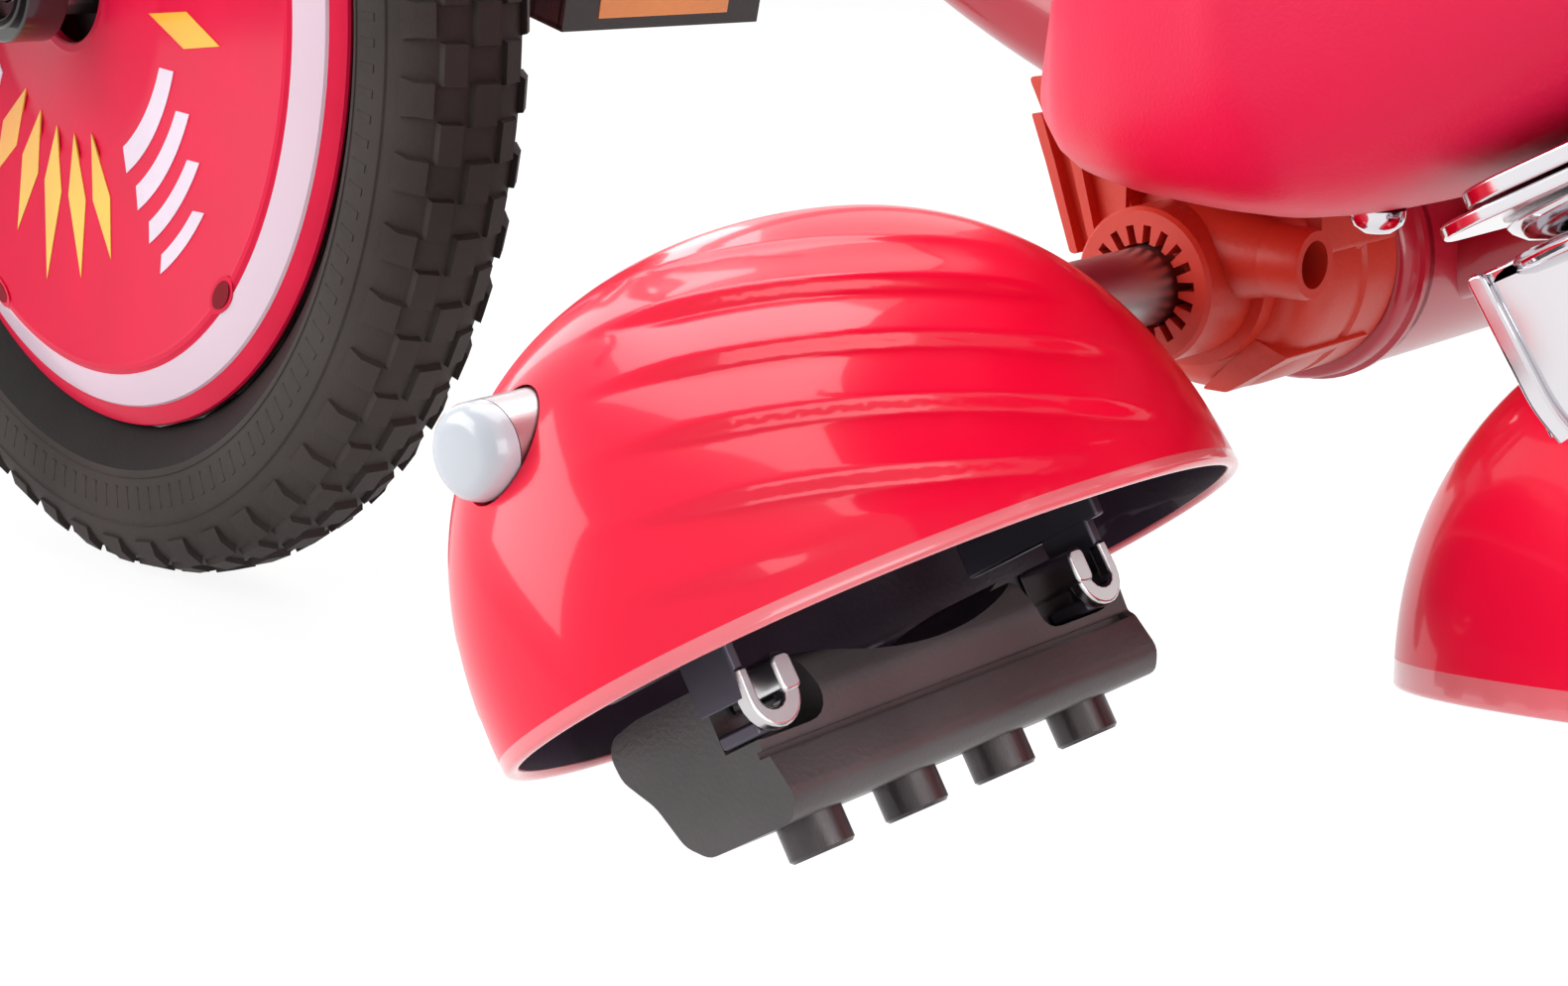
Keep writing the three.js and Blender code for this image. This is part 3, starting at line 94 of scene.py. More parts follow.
def material(name, color, rough, metal=0.0, coat=0.0, coat_rough=0.04, shine=0.5, rough_swing=0.05,
             mottle=0.06, mottle_scale=35, grain=0.0, grain_scale=900, streak=None, second=None,
             second_share=0.0):
    mat = bpy.data.materials.new(name)
    mat.use_nodes = True
    tree, link = mat.node_tree, mat.node_tree.links.new
    shader = tree.nodes["Principled BSDF"]
    for label, value in (("Metallic", metal), ("Coat Weight", coat), ("Coat Roughness", coat_rough),
                         ("Specular IOR Level", shine)):
        shader.inputs[label].default_value = value
    where = new_node(tree, "TexCoord").outputs["Object"]
    if streak:
        stretch = new_node(tree, "Mapping", Scale=streak)
        link(where, stretch.inputs["Vector"])
        where = stretch.outputs["Vector"]
    noise = new_node(tree, "TexNoise", Scale=mottle_scale, Detail=6)
    link(where, noise.inputs["Vector"])
    ramp = new_node(tree, "ValToRGB")
    low = [max(c * (1 - mottle), 0) for c in color]
    high = [min(c * (1 + mottle) + 0.02 * mottle, 1) for c in color]
    for stop, spot, tone in zip(ramp.color_ramp.elements, (0.3, 0.7), (low, high)):
        stop.color = (*tone, 1)
        stop.position = spot
    link(noise.outputs["Fac"], ramp.inputs["Fac"])
    tint = ramp.outputs["Color"]
    if second:
        wide = new_node(tree, "TexNoise", Scale=mottle_scale * 0.3)
        link(where, wide.inputs["Vector"])
        spread = new_node(tree, "MapRange", From_Min=0.45, From_Max=0.75, To_Max=second_share)
        link(wide.outputs["Fac"], spread.inputs["Value"])
        mix = new_node(tree, "Mix")
        mix.data_type = "RGBA"
        link(spread.outputs["Result"], mix.inputs["Factor"])
        link(tint, mix.inputs["A"])
        mix.inputs["B"].default_value = (*second, 1)
        tint = mix.outputs["Result"]
    link(tint, shader.inputs["Base Color"])
    gloss = new_node(tree, "MapRange", To_Min=max(rough - rough_swing, 0.02), To_Max=rough + rough_swing)
    link(noise.outputs["Fac"], gloss.inputs["Value"])
    link(gloss.outputs["Result"], shader.inputs["Roughness"])
    if grain:
        fine = new_node(tree, "TexNoise", Scale=grain_scale, Detail=4)
        link(where, fine.inputs["Vector"])
        bump = new_node(tree, "Bump", Strength=grain, Distance=0.0004)
        link(fine.outputs["Fac"], bump.inputs["Height"])
        link(bump.outputs["Normal"], shader.inputs["Normal"])
    return mat


LOOK = {
    "dome": material("dome_red_gloss", (0.90, 0.0030, 0.040), 0.3, coat=0.45, coat_rough=0.07, shine=0.18,
                     mottle=0.03, grain=0.04, grain_scale=260, rough_swing=0.03),
    # painted highlight: the dome's rim lip is pale pink for the light that its edge catches
    "painted_highlight_lip": material("dome_lip_painted_highlight", (0.86, 0.16, 0.19), 0.22, coat=0.8, mottle=0.05),
    # painted shade: the insides of the dome and fender get a near-black colour for the shade inside them
    "painted_shade_lining": material("dome_inside_painted_shade", (0.035, 0.016, 0.036), 0.38, coat=0.3, mottle=0.25, grain=0.15),
    "seat": material("seat_red_satin", (0.76, 0.009, 0.068), 0.42, coat=0.06, coat_rough=0.25, shine=0.22,
                     mottle=0.05, mottle_scale=14, grain=0.22, grain_scale=1400,
                     second=(0.72, 0.008, 0.058), second_share=0.5),
    "frame": material("frame_crimson_paint", (0.42, 0.010, 0.030), 0.3, coat=0.35, coat_rough=0.06,
                      mottle=0.05, grain=0.05, grain_scale=300),
    "housing": material("housing_orange_plastic", (0.56, 0.038, 0.017), 0.42, coat=0.1, coat_rough=0.3,
                        mottle=0.08, grain=0.2, grain_scale=900),
    "steel": material("satin_steel", (0.47, 0.43, 0.44), 0.36, metal=1.0, mottle=0.08, grain=0.08,
                      grain_scale=500, streak=(1, 6, 6), second=(0.36, 0.31, 0.33), second_share=0.4),
    "polished": material("polished_steel", (0.66, 0.64, 0.65), 0.22, metal=1.0, mottle=0.06, grain=0.05,
                         grain_scale=400),
    # painted shade: a darker copy of steel for the holder's plates, which sit in shade
    "painted_shade_steel": material("holder_steel_painted_shade", (0.11, 0.10, 0.13), 0.45, metal=0.8, mottle=0.1, grain=0.1,
                       grain_scale=500),
    "plug": material("plug_grey_plastic", (0.52, 0.55, 0.60), 0.3, coat=0.6, coat_rough=0.1, mottle=0.06,
                     grain=0.05, grain_scale=500),
    # painted shade: the tyre bead beside the cover is near black for the shadow band in the gap there
    "painted_shade_bead": material("tyre_bead_painted_shade", (0.007, 0.004, 0.004), 0.6, shine=0.14, mottle=0.2, grain=0.3,
                     grain_scale=700),
    "chrome": material("chrome_plate", (0.74, 0.72, 0.75), 0.11, metal=1.0, mottle=0.02, rough_swing=0.03),
    "cartridge": material("cartridge_black_plastic", (0.078, 0.068, 0.070), 0.4, coat=0.15, coat_rough=0.3,
                          mottle=0.2, grain=0.25, grain_scale=1100),
    "flint": material("flint_dark_metal", (0.062, 0.052, 0.054), 0.3, metal=0.5, mottle=0.4, mottle_scale=60,
                      streak=(9, 1, 1), grain=0.15),
    "tyre": material("tyre_rubber", (0.037, 0.029, 0.027), 0.66, shine=0.14, mottle=0.2, mottle_scale=22,
                     grain=0.35, grain_scale=700, second=(0.055, 0.048, 0.044), second_share=0.6),
    "cover": material("cover_red_gloss", (0.66, 0.0035, 0.045), 0.34, coat=0.08, coat_rough=0.12, shine=0.12,
                      mottle=0.05, grain=0.04, grain_scale=200),
    "ring": material("cover_ring_pale", (0.72, 0.52, 0.62), 0.35, coat=0.3, mottle=0.06, mottle_scale=12,
                     second=(0.76, 0.66, 0.74), second_share=0.7),
    # painted shade: darker red for the shade inside the cover's recesses
    "painted_shade_recess": material("cover_recess_painted_shade", (0.20, 0.001, 0.010), 0.6, mottle=0.1, shine=0.15),
    "yellow": material("motif_yellow", (0.78, 0.50, 0.02), 0.3, coat=0.5, mottle=0.12, mottle_scale=30,
                       second=(0.86, 0.22, 0.01), second_share=0.8),
    "white": material("motif_white", (0.72, 0.60, 0.70), 0.3, coat=0.5, mottle=0.05),
    "black": material("black_paint", (0.014, 0.012, 0.012), 0.32, coat=0.7, mottle=0.2, grain=0.08,
                      grain_scale=350),
    "plastic": material("black_plastic", (0.028, 0.025, 0.025), 0.5, mottle=0.2, grain=0.25, grain_scale=800),
    "grip": material("grip_rubber", (0.022, 0.02, 0.02), 0.75, mottle=0.25, grain=0.4, grain_scale=700),
    # painted shade: near-black sheets set at the bottoms of the housing's holes
    "painted_shade_hole": material("hole_painted_shade", (0.012, 0.009, 0.010), 0.7, mottle=0.3),
    "amber": material("reflector_amber", (0.85, 0.26, 0.01), 0.12, coat=1.0, mottle=0.08, grain=0.4,
                      grain_scale=420),
    "core": material("caster_core_plastic", (0.05, 0.045, 0.047), 0.4, mottle=0.15, grain=0.2,
                     grain_scale=800),
}


# Shapes, as points in millimetres and faces, and the outlines and paths that they are made from
def lathe(profile, sides=64, axis="x"):
    closed = profile[0] == profile[-1]
    points, rings, faces = [], [], []
    for r, a in profile[:-1] if closed else profile:
        start = len(points)
        count = 1 if r < 1e-6 else sides
        for k in range(count):
            t = 2 * math.pi * k / sides
            u, v = r * math.cos(t), r * math.sin(t)
            points.append((a, u, v) if axis == "x" else (u, v, a))
        rings.append([start] if count == 1 else list(range(start, start + sides)))
    for i in range(len(rings) if closed else len(rings) - 1):
        low, high = rings[i], rings[(i + 1) % len(rings)]
        for k in range(sides):
            n = (k + 1) % sides
            quad = [low[k % len(low)], low[n % len(low)], high[n % len(high)], high[k % len(high)]]
            corners = list(dict.fromkeys(quad))
            if len(corners) > 2:
                faces.append(corners)
    return points, faces


def disc(radius, low, high, sides=64, axis="x"):
    return lathe([(0, low), (radius, low), (radius, high), (0, high)], sides, axis)


def ring(outer, inner, low, high, sides=64, axis="x"):
    return lathe([(inner, low), (outer, low), (outer, high), (inner, high), (inner, low)], sides, axis)


def band_faces(count):
    return [[k, (k + 1) % count, (k + 1) % count + count, k + count] for k in range(count)]


def prism(outline, low, high, along="x"):
    count = len(outline)
    order = {"x": (0, 1, 2), "y": (1, 0, 2), "z": (1, 2, 0)}[along]
    points = [tuple((a, u, v)[k] for k in order) for a in (low, high) for u, v in outline]
    return points, [list(range(count))[::-1], list(range(count, 2 * count))] + band_faces(count)


def box(x0, x1, y0, y1, z0, z1):
    return prism([(y0, z0), (y1, z0), (y1, z1), (y0, z1)], x0, x1)


def arc(u, v, radius, start, end, steps, turn=0.0):
    made = []
    for k in range(steps + 1):
        t = turn + math.radians(start + (end - start) * k / steps)
        made.append((u + radius * math.cos(t), v + radius * math.sin(t)))
    return made


def plate(half_x, y0, y1, corner, z0, z1, steps=8):
    outline = []
    for cx, cy, start in ((half_x - corner, y1 - corner, 0), (corner - half_x, y1 - corner, 90),
                          (corner - half_x, y0 + corner, 180), (half_x - corner, y0 + corner, 270)):
        outline += arc(cx, cy, corner, start, start + 90, steps)
    return prism(outline, z0, z1, "z")


def rounded(outline, radius, steps=5):
    made = []
    count = len(outline)
    for i, corner in enumerate(outline):
        here = Vector(corner)
        before, after = Vector(outline[i - 1]) - here, Vector(outline[(i + 1) % count]) - here
        reach = min(radius, before.length * 0.45, after.length * 0.45)
        a, b = here + before.normalized() * reach, here + after.normalized() * reach
        for k in range(steps + 1):
            t = k / steps
            made.append(tuple(a * (1 - t) ** 2 + here * 2 * t * (1 - t) + b * t * t))
    return made


def spline(points, each):
    p = [np.array(q, float) for q in points]
    last = len(p) - 1
    made = []
    for i in range(last):
        a, b, c, d = (p[min(max(j, 0), last)] for j in range(i - 1, i + 3))
        for k in range(each):
            t = k / each
            made.append(0.5 * (2 * b + (c - a) * t + (2 * a - 5 * b + 4 * c - d) * t ** 2
                               + (3 * b - a - 3 * c + d) * t ** 3))
    return made + [p[-1]]


def sweep(path, radius, sides=24, closed=False):
    path = [Vector(q) for q in path]
    count = len(path)
    points, faces = [], []
    normal = None
    for i, here in enumerate(path):
        if closed:
            tangent = (path[(i + 1) % count] - path[i - 1]).normalized()
        else:
            tangent = (path[min(i + 1, count - 1)] - path[max(i - 1, 0)]).normalized()
        if normal is None:
            guide = Vector((0, 0, 1)) if abs(tangent.z) < 0.9 else Vector((1, 0, 0))
            normal = tangent.cross(guide).normalized()
        normal = (normal - tangent * normal.dot(tangent)).normalized()
        side = tangent.cross(normal)
        for k in range(sides):
            t = 2 * math.pi * k / sides
            points.append(tuple(here + (normal * math.cos(t) + side * math.sin(t)) * radius))
    for i in range(count if closed else count - 1):
        j = (i + 1) % count
        for k in range(sides):
            n = (k + 1) % sides
            faces.append([i * sides + k, i * sides + n, j * sides + n, j * sides + k])
    if not closed:
        faces.append(list(range(sides))[::-1])
        faces.append([(count - 1) * sides + k for k in range(sides)])
    return points, faces


def bent(points, bend, steps):
    p = [Vector(q) for q in points]
    made = [p[0]]
    for i in range(1, len(p) - 1):
        a = p[i] - (p[i] - p[i - 1]).normalized() * bend
        b = p[i] + (p[i + 1] - p[i]).normalized() * bend
        for k in range(steps + 1):
            t = k / steps
            made.append(a * (1 - t) ** 2 + p[i] * 2 * t * (1 - t) + b * t * t)
    return made + [p[-1]]


def moved(shape, x=0.0, y=0.0, z=0.0, turn=None):
    matrix = Matrix.Translation((x, y, z)) @ (turn or Matrix.Identity(4))
    return [tuple(matrix @ Vector(q)) for q in shape[0]], shape[1]


def hexagon(radius):
    turns = [math.radians(60 * k) for k in range(6)]
    return [(radius * math.cos(t), radius * math.sin(t)) for t in turns]


def flipped(profile, side):
    return [(r, side * x) for r, x in profile]


# Making pieces
def tidy_mesh(mesh, angle):
    work = bmesh.new()
    work.from_mesh(mesh)
    bmesh.ops.remove_doubles(work, verts=work.verts, dist=1e-7)
    bmesh.ops.recalc_face_normals(work, faces=work.faces)
    work.to_mesh(mesh)
    work.free()
    mesh.polygons.foreach_set("use_smooth", [True] * len(mesh.polygons))
    if angle:
        mesh.set_sharp_from_angle(angle=math.radians(angle))


def build(name, parts, matrix, looks, sign, angle):
    points, faces, slots = [], [], []
    for shape, look in parts:
        start = len(points)
        points += [tuple((matrix @ Vector(q)) * MM) for q in shape[0]]
        faces += [[start + k for k in f] for f in shape[1]]
        slots += look if isinstance(look, list) else [look] * len(shape[1])
    if sign < 0:
        points = [(-x, y, z) for x, y, z in points]
    mesh = bpy.data.meshes.new(name)
    mesh.from_pydata(points, [], faces)
    for look in looks:
        mesh.materials.append(LOOK[look])
    mesh.polygons.foreach_set("material_index", slots)
    tidy_mesh(mesh, angle)
    obj = bpy.data.objects.new(name, mesh)
    bpy.context.scene.collection.objects.link(obj)
    return obj


def cut_out(obj, tool):
    cut = obj.modifiers.new("cut", "BOOLEAN")
    cut.operation = "DIFFERENCE"
    cut.solver = "EXACT"
    cut.object = tool
    bpy.context.view_layer.update()
    fresh = bpy.data.meshes.new_from_object(obj.evaluated_get(bpy.context.evaluated_depsgraph_get()))
    obj.modifiers.remove(cut)
    obj.data = fresh
    bpy.data.objects.remove(tool)


def soften(obj, width):
    bevel = obj.modifiers.new("soft_edges", "BEVEL")
    bevel.width = width * MM
    bevel.segments = 3
    bevel.limit_method = "ANGLE"
    bevel.angle_limit = math.radians(32)
    bevel.harden_normals = True


def add(name, body, parts, matrix, looks, stands=(), soft=0.0, both=False, angle=38, cutters=()):
    if soft:
        angle = None
    for side, sign in ((("left", 1), ("right", -1)) if both else (("", 1),)):
        title = f"{name}_{side}" if both else name
        obj = build(title, parts, matrix, looks, sign, angle)
        for shape in cutters:
            cut_out(obj, build(title + "_tool", [(shape, 0)], matrix, looks[:1], sign, 38))
        if cutters:
            tidy_mesh(obj.data, angle)
        if soft:
            soften(obj, soft)
        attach(obj, body.format(s=side))
        if stands:
            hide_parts(*[n.format(s=side) for n in stands])


# Front wheel
def wedge(section, start, width, pinch):
    count = len(section)
    points = []
    for t, sign in ((start, 1), (start + width, -1)):
        for i, (r, x) in enumerate(section):
            a = t + sign * pinch * (i >= count / 2)
            points.append((x, r * math.cos(a), r * math.sin(a)))
    return points, [list(range(count)), list(range(count, 2 * count))[::-1]] + band_faces(count)


def tyre(sides=200, blocks=54, ribs=150):
    half = [(165, 21.3), (172, 22.8), (180, 22.9), (186, 21.9), (191, 19.8), (195.5, 16.4), (198.6, 11.6),
            (200, 6)]
    outer = spline(flipped(half, -1) + [(200.3, 0)] + half[::-1], 3)
    inner = [(164, 16), (184, 17), (193, 8), (193, -8), (184, -17), (164, -16)]
    # the bead ring takes look 1, near black as painted shade of the gap beside the cover
    painted_shade_bead = [(151.3, 8), (151.3, 10.4), (154, 13), (158, 16.2), (162, 19.4), (165, 21.3), (165.5, 20.2),
            (164, 16), (156, 8), (151.3, 8)]
    middle = [(198.5, -4.8), (198.5, 4.8), (202.6, 4), (202.6, -4)]
    flank = [(197.4, 6.4), (195.4, 14.2), (199.6, 13.4), (201.9, 6.9)]
    shoulder = [(195.4, 15.2), (189, 20.3), (189.4, 21.9), (194.3, 20.2), (198.9, 15.9)]
    rib = [(170.5, 22.2), (178, 22.6), (178, 23.2), (170.5, 22.9)]
    loop = [tuple(q) for q in outer] + inner
    parts = [(lathe(loop + [loop[0]], sides), 0)]
    for side in (-1, 1):
        parts.append((lathe(flipped(painted_shade_bead, side), sides), 1))
    pitch = 2 * math.pi / blocks
    for i in range(blocks):
        a = i * pitch
        parts.append((wedge(middle, a, 0.62 * pitch, 0.006), 0))
        for side in (-1, 1):
            parts.append((wedge(flipped(flank, side), a + 0.5 * pitch, 0.62 * pitch, 0.006), 0))
            parts.append((wedge(flipped(shoulder, side), a, 0.52 * pitch, 0.005), 0))
    rib_pitch = 2 * math.pi / ribs
    for i in range(ribs):
        for side in (-1, 1):
            parts.append((wedge(flipped(rib, side), i * rib_pitch, 0.4 * rib_pitch, 0.002), 0))
    for side in (-1, 1):
        for r, x in ((167.5, 22.0), (183.5, 22.7)):
            band = [(r - 0.9, x - 0.8), (r, x + 0.35), (r + 0.9, x - 0.8), (r - 0.9, x - 0.8)]
            parts.append((lathe(flipped(band, side), sides), 0))
    add("front_tyre_tread", "front_wheel", parts, FORK, ["tyre", "painted_shade_bead"], ["front_tyre"], angle=30)


def cover_face(r):
    if r < COVER_SHOULDER:
        return COVER_FACE + COVER_CROWN * (COVER_SHOULDER - r) / (COVER_SHOULDER - COVER_HOLE)
    return COVER_FACE - COVER_BULGE * (r - COVER_SHOULDER) / (COVER_EDGE - COVER_SHOULDER)


def on_cover(outline, side, low, high):
    flat = [(cover_face(math.hypot(u, v)), u, v) for u, v in outline]
    points = [(side * (face + lift), u, v) for lift in (low, high) for face, u, v in flat]
    return points, prism(outline, 0, 1)[1]


def recess_parts(side, steps=28, half_wide=4.4, half_long=8.6, sink=-0.6):
    parts = []
    for k in range(RECESSES):
        a = math.radians(RECESS_ANGLE + 360 / RECESSES * k)
        turn = Matrix.Rotation(a, 2)
        # the inner oval takes look 2, a darker red painted in as the shade inside each recess
        for size, lift, look in ((1.0, 0.7, 0), (0.74, 0.85, 2)):
            oval = []
            for j in range(steps):
                t = 2 * math.pi * j / steps
                out = RECESS_RADIUS + half_wide * size * math.cos(t)
                oval.append(tuple(turn @ Vector((out, half_long * size * math.sin(t)))))
            parts.append((on_cover(oval, side, sink, lift), look))
    return parts


def motif_parts(side, groups=3, steps=26, half_thick=0.3):
    def ray(radius, t):
        return radius * math.cos(t), radius * math.sin(t)

    parts = []
    for k in range(groups):
        turn = math.radians(-150 + 120 * k)
        for n, (inner, outer, reach) in enumerate(((62, 70, 40), (76, 83, 34), (89, 95, 27), (101, 106, 20))):
            shape = []
            there, back = range(steps + 1), range(steps, -1, -1)
            for radius, span, order in ((outer, reach, there), (inner, reach - 5, back)):
                shape += [ray(radius, turn + math.radians(span * (j / steps - 0.5) + n * 3)) for j in order]
            parts.append((on_cover(shape, side, -half_thick, half_thick), 1))
        for n in range(-2, 3):
            t = turn + math.radians(62) + math.radians(13 * n)
            width = math.radians(4.6)
            kite = [ray(52, t), ray(74, t - width), ray(108 - 7 * abs(n), t), ray(74, t + width)]
            parts.append((on_cover(kite, side, -half_thick, half_thick), 0))
    return parts


def cover():
    base = [(22, 21.5), (132, 19.5), (141, 11.5), (149.4, 11.5), (150.7, 12.2), (151, 13), (150.5, 13.9),
            (149.4, 14.4), (146.6, 15.6), (144.6, 16.1), (132.4, 21.6), (131, 22.5), (129.4, 22.7),
            (128, 22.1), (62, 23.3), (59, 22.6), (55, 22.7), (52, 23.5), (27, 24), (25, 24.9), (22.6, 24.8),
            (22, 24.2), (22, 21.5)]
    band = [(132.2, 21.2), (133, 21.9), (138, 19.7), (143.6, 17.2), (144.4, 16), (132.2, 21.2)]
    for side, word in SIDES:
        parts = [(lathe(flipped(profile, side), 180), look) for look, profile in enumerate((base, band))]
        parts += recess_parts(side)
        add(f"cover_disc_{word}", "front_wheel", parts, FORK, ["cover", "ring", "painted_shade_recess"],
            [f"wheel_cover_{word}"], angle=25)
        add(f"cover_motif_{word}", "front_wheel", motif_parts(side), FORK, ["yellow", "white"], angle=30)


def pedal_parts(low, high):
    parts = [(box(low, high, -31, 31, *z), 0) for z in ((-10.4, -8), (8.6, 11))]
    parts += [(box(low, high, y, y + 3, -10, 11), 0) for y in (-31, -16.5, 13.5, 28)]
    for n in range(5):
        x = low + n * (high - low - 4) / 4
        parts.append((box(x, x + 4, -30, 30, -10, 11), 0))
    for n in range(9):
        x = low + 6 + n * (high - low - 16) / 8
        parts += [(box(x, x + 4, -27, 27, z, z + 1.4), 0) for z in (-10.9, 10.2)]
    parts.append((ring(8.6, 5.6, low, high, 40), 0))
    parts += [(box(low + 14, high - 14, y, y + 0.8, -6.5, 6.5), 1) for y in (-31.3, 30.5)]
    return parts


def cranks():
    for side, word in SIDES:
        a = math.radians(LEFT_CRANK_ANGLE if side < 0 else LEFT_CRANK_ANGLE + 180)
        c, s = math.cos(a), math.sin(a)
        end = (CRANK_LENGTH * c, CRANK_LENGTH * s)

        def span(low, high):
            return (low, high) if side > 0 else (-high, -low)

        def at_end(parts):
            return [(moved(shape, 0, *end), look) for shape, look in parts]

        arm = prism(arc(0, 0, 17, 96, 264, 16, a) + arc(*end, 12, -86, 86, 16, a), *span(56, 67))
        dent = arc(24 * c, 24 * s, 6, 90, 270, 8, a) + arc(92 * c, 92 * s, 4.5, -90, 90, 8, a)
        add(f"crank_arm_{word}", "front_wheel", [(arm, 0)], FORK, ["black"], [f"crank_{word}"], soft=1.6,
            cutters=[prism(dent, *span(65.4, 70))])
        dust_cap = lathe(flipped([(0, 68), (5.6, 70), (4.6, 74.2), (0, 75.2)], side), 32)
        bolt = [(disc(9, *span(67.2, 68.4), 48), 0), (prism(hexagon(7.6), *span(68.3, 72.3)), 0),
                (dust_cap, 0)]
        add(f"crank_nut_{word}", "front_wheel", bolt, FORK, ["polished"], [f"crank_bolt_{word}"], soft=0.4)
        pin = at_end([(disc(5, *span(59, 153), 40), 0), (prism(hexagon(7.5), *span(67.3, 71.5)), 0)])
        add(f"pedal_pin_{word}", "front_wheel", pin, FORK, ["steel"], [f"pedal_spindle_{word}"], soft=0.4)
        add(f"pedal_platform_{word}", f"pedal_block_{word}", at_end(pedal_parts(*span(73, 155))), FORK,
            ["plastic", "amber"], [f"pedal_{word}"], soft=0.6)


def front_axle():
    add("axle_rod", "front_wheel", [(disc(7.5, -68, 68, 48), 0)], FORK, ["steel"], ["front_axle"], soft=0.6)
    for side, word in SIDES:
        low, high = sorted((side * 37, side * 47))
        add(f"bearing_ring_{word}", "steering", [(ring(13, 7.9, low, high, 56), 0)], FORK, ["polished"],
            [f"wheel_bearing_{word}"], soft=0.5)


# Fork, stem and handlebar
def fork():
    leg = [(0, 6), (12, 6), (12, 219.5), (13.2, 221), (13.2, 244), (9, 247), (0, 247)]
    parts = [(plate(56, -42, 14, 14, 219, 241), 0)]
    for x in (-42, 42):
        parts.append((moved(lathe(leg, 56, "z"), x), 0))
        parts.append((ring(21, 13.4, x - 7.5, x + 7.5, 64), 0))
        parts.append((ring(16.6, 13.2, x - 8.3, x + 8.3, 64), 0))
    parts.append((moved(disc(12.7, 230, 409, 56, "z"), 0, -FORK_OFFSET), 0))
    add("fork_legs_and_crown", "steering", parts, FORK, ["black"], ["fork"], soft=1.2)


def stem(bolt_x=15, bolt_y=38, ear_front=32, ear_back=45, ear_half=6):
    sleeve = moved(ring(18, 13, 375.8, 409.5, 64, "z"), 0, -FORK_OFFSET)
    clamp = moved(ring(17, 11.2, -22, 22, 64), 0, CLAMP_Y, CLAMP_Z)
    parts = [(sleeve, 0), (box(-13, 13, -14, 14, 381, 404), 0), (clamp, 0)]
    for x in (-bolt_x, bolt_x):
        for radius, low, high in ((3.6, -19.5, 19.5), (5.2, 17.5, 21.5)):
            parts.append((moved(disc(radius, low, high, 32, "z"), x, bolt_y, CLAMP_Z), 1))
        for low, high in ((381, 391.8), (393.2, 404)):
            parts.append((box(x - ear_half, x + ear_half, ear_front, ear_back, low, high), 0))
    add("stem_body", "steering", parts, FORK, ["black", "polished"], ["stem"], soft=1.0)
    lid = lathe([(0, 409.8), (16, 409.8), (16, 412.4), (14.5, 413.8), (0, 413.8)], 64, "z")
    cap = [(moved(lid, 0, -FORK_OFFSET), 0), (moved(ring(5.4, 2.6, 411, 413.9, 32, "z"), 0, -FORK_OFFSET), 1)]
    add("stem_top_cap", "steering", cap, FORK, ["plastic", "polished"], ["stem_cap"], soft=0.4)
    nut = moved(prism(hexagon(17), 366.9, 374.8, "z"), 0, -FORK_OFFSET)
    add("headset_nut", "steering", [(nut, 0)], FORK, ["polished"], ["fork_top_nut"], soft=0.8)


def handlebar():
    half = [Vector((60, 0, 0)), Vector((130, -11.9, 118)), Vector((270, -34, 118))]
    path = bent([Vector((-q.x, q.y, q.z)) for q in half[::-1]] + half, 30, 14)
    bars = [sweep(path, 11.1, 36)] + [ring(11.35, 10.8, x - 0.5, x + 0.5, 48) for x in (-26, -29, 26, 29)]
    parts = [(moved(shape, 0, CLAMP_Y, CLAMP_Z), 0) for shape in bars]
    add("handlebar_tube", "steering", parts, FORK, ["black"], ["handlebar"], angle=50)
    profile = [(11.8, -104), (21, -104), (21.6, -102), (21, -100), (16.2, -99)]
    for n in range(12):
        a = -95 + n * 7.6
        profile += [(15.6, a), (16.1, a + 1), (16.1, a + 4.6), (15.6, a + 5.6)]
    profile += [(16.2, -2), (17.4, 0), (17.2, 3), (15, 4.3), (0, 4.3), (0, 2), (11.8, 2), (11.8, -104)]
    for side, word in SIDES:
        shoulder, tip = (Vector((side * q.x, q.y, q.z)) for q in half[1:])
        turn = Vector((1, 0, 0)).rotation_difference((tip - shoulder).normalized()).to_matrix().to_4x4()
        grip = moved(lathe(profile, 56), tip.x, tip.y + CLAMP_Y, tip.z + CLAMP_Z, turn)
        add(f"grip_sleeve_{word}", "steering", [(grip, 0)], FORK, ["grip"], [f"grip_{word}"], angle=40)


# Frame
def in_row(matrix, x, y, z):
    spot = matrix @ Vector((x, y, z))
    return Vector((spot.x, spot.y - AXLE_Y, spot.z - FLOOR_GAP))


def head_tube():
    tube = lathe([(14, 255.3), (18.9, 255.3), (18.9, 262), (18.4, 263), (18.4, 348), (18.9, 349),
                  (18.9, 355.1), (14, 355.1), (14, 255.3)], 64, "z")
    add("head_tube", "frame_body", [(tube, 0)], HEAD, ["frame"], ["frame"], soft=0.5)
    for word, part, low, high in (("low", "lower", 241.4, 254.8), ("high", "upper", 355.6, 366.4)):
        cup = ring(20, 13.3, low, high, 64, "z")
        add(f"headset_cup_{word}", "frame_body", [(cup, 0)], HEAD, ["polished"], [f"headset_{part}_cup"],
            soft=1.2)


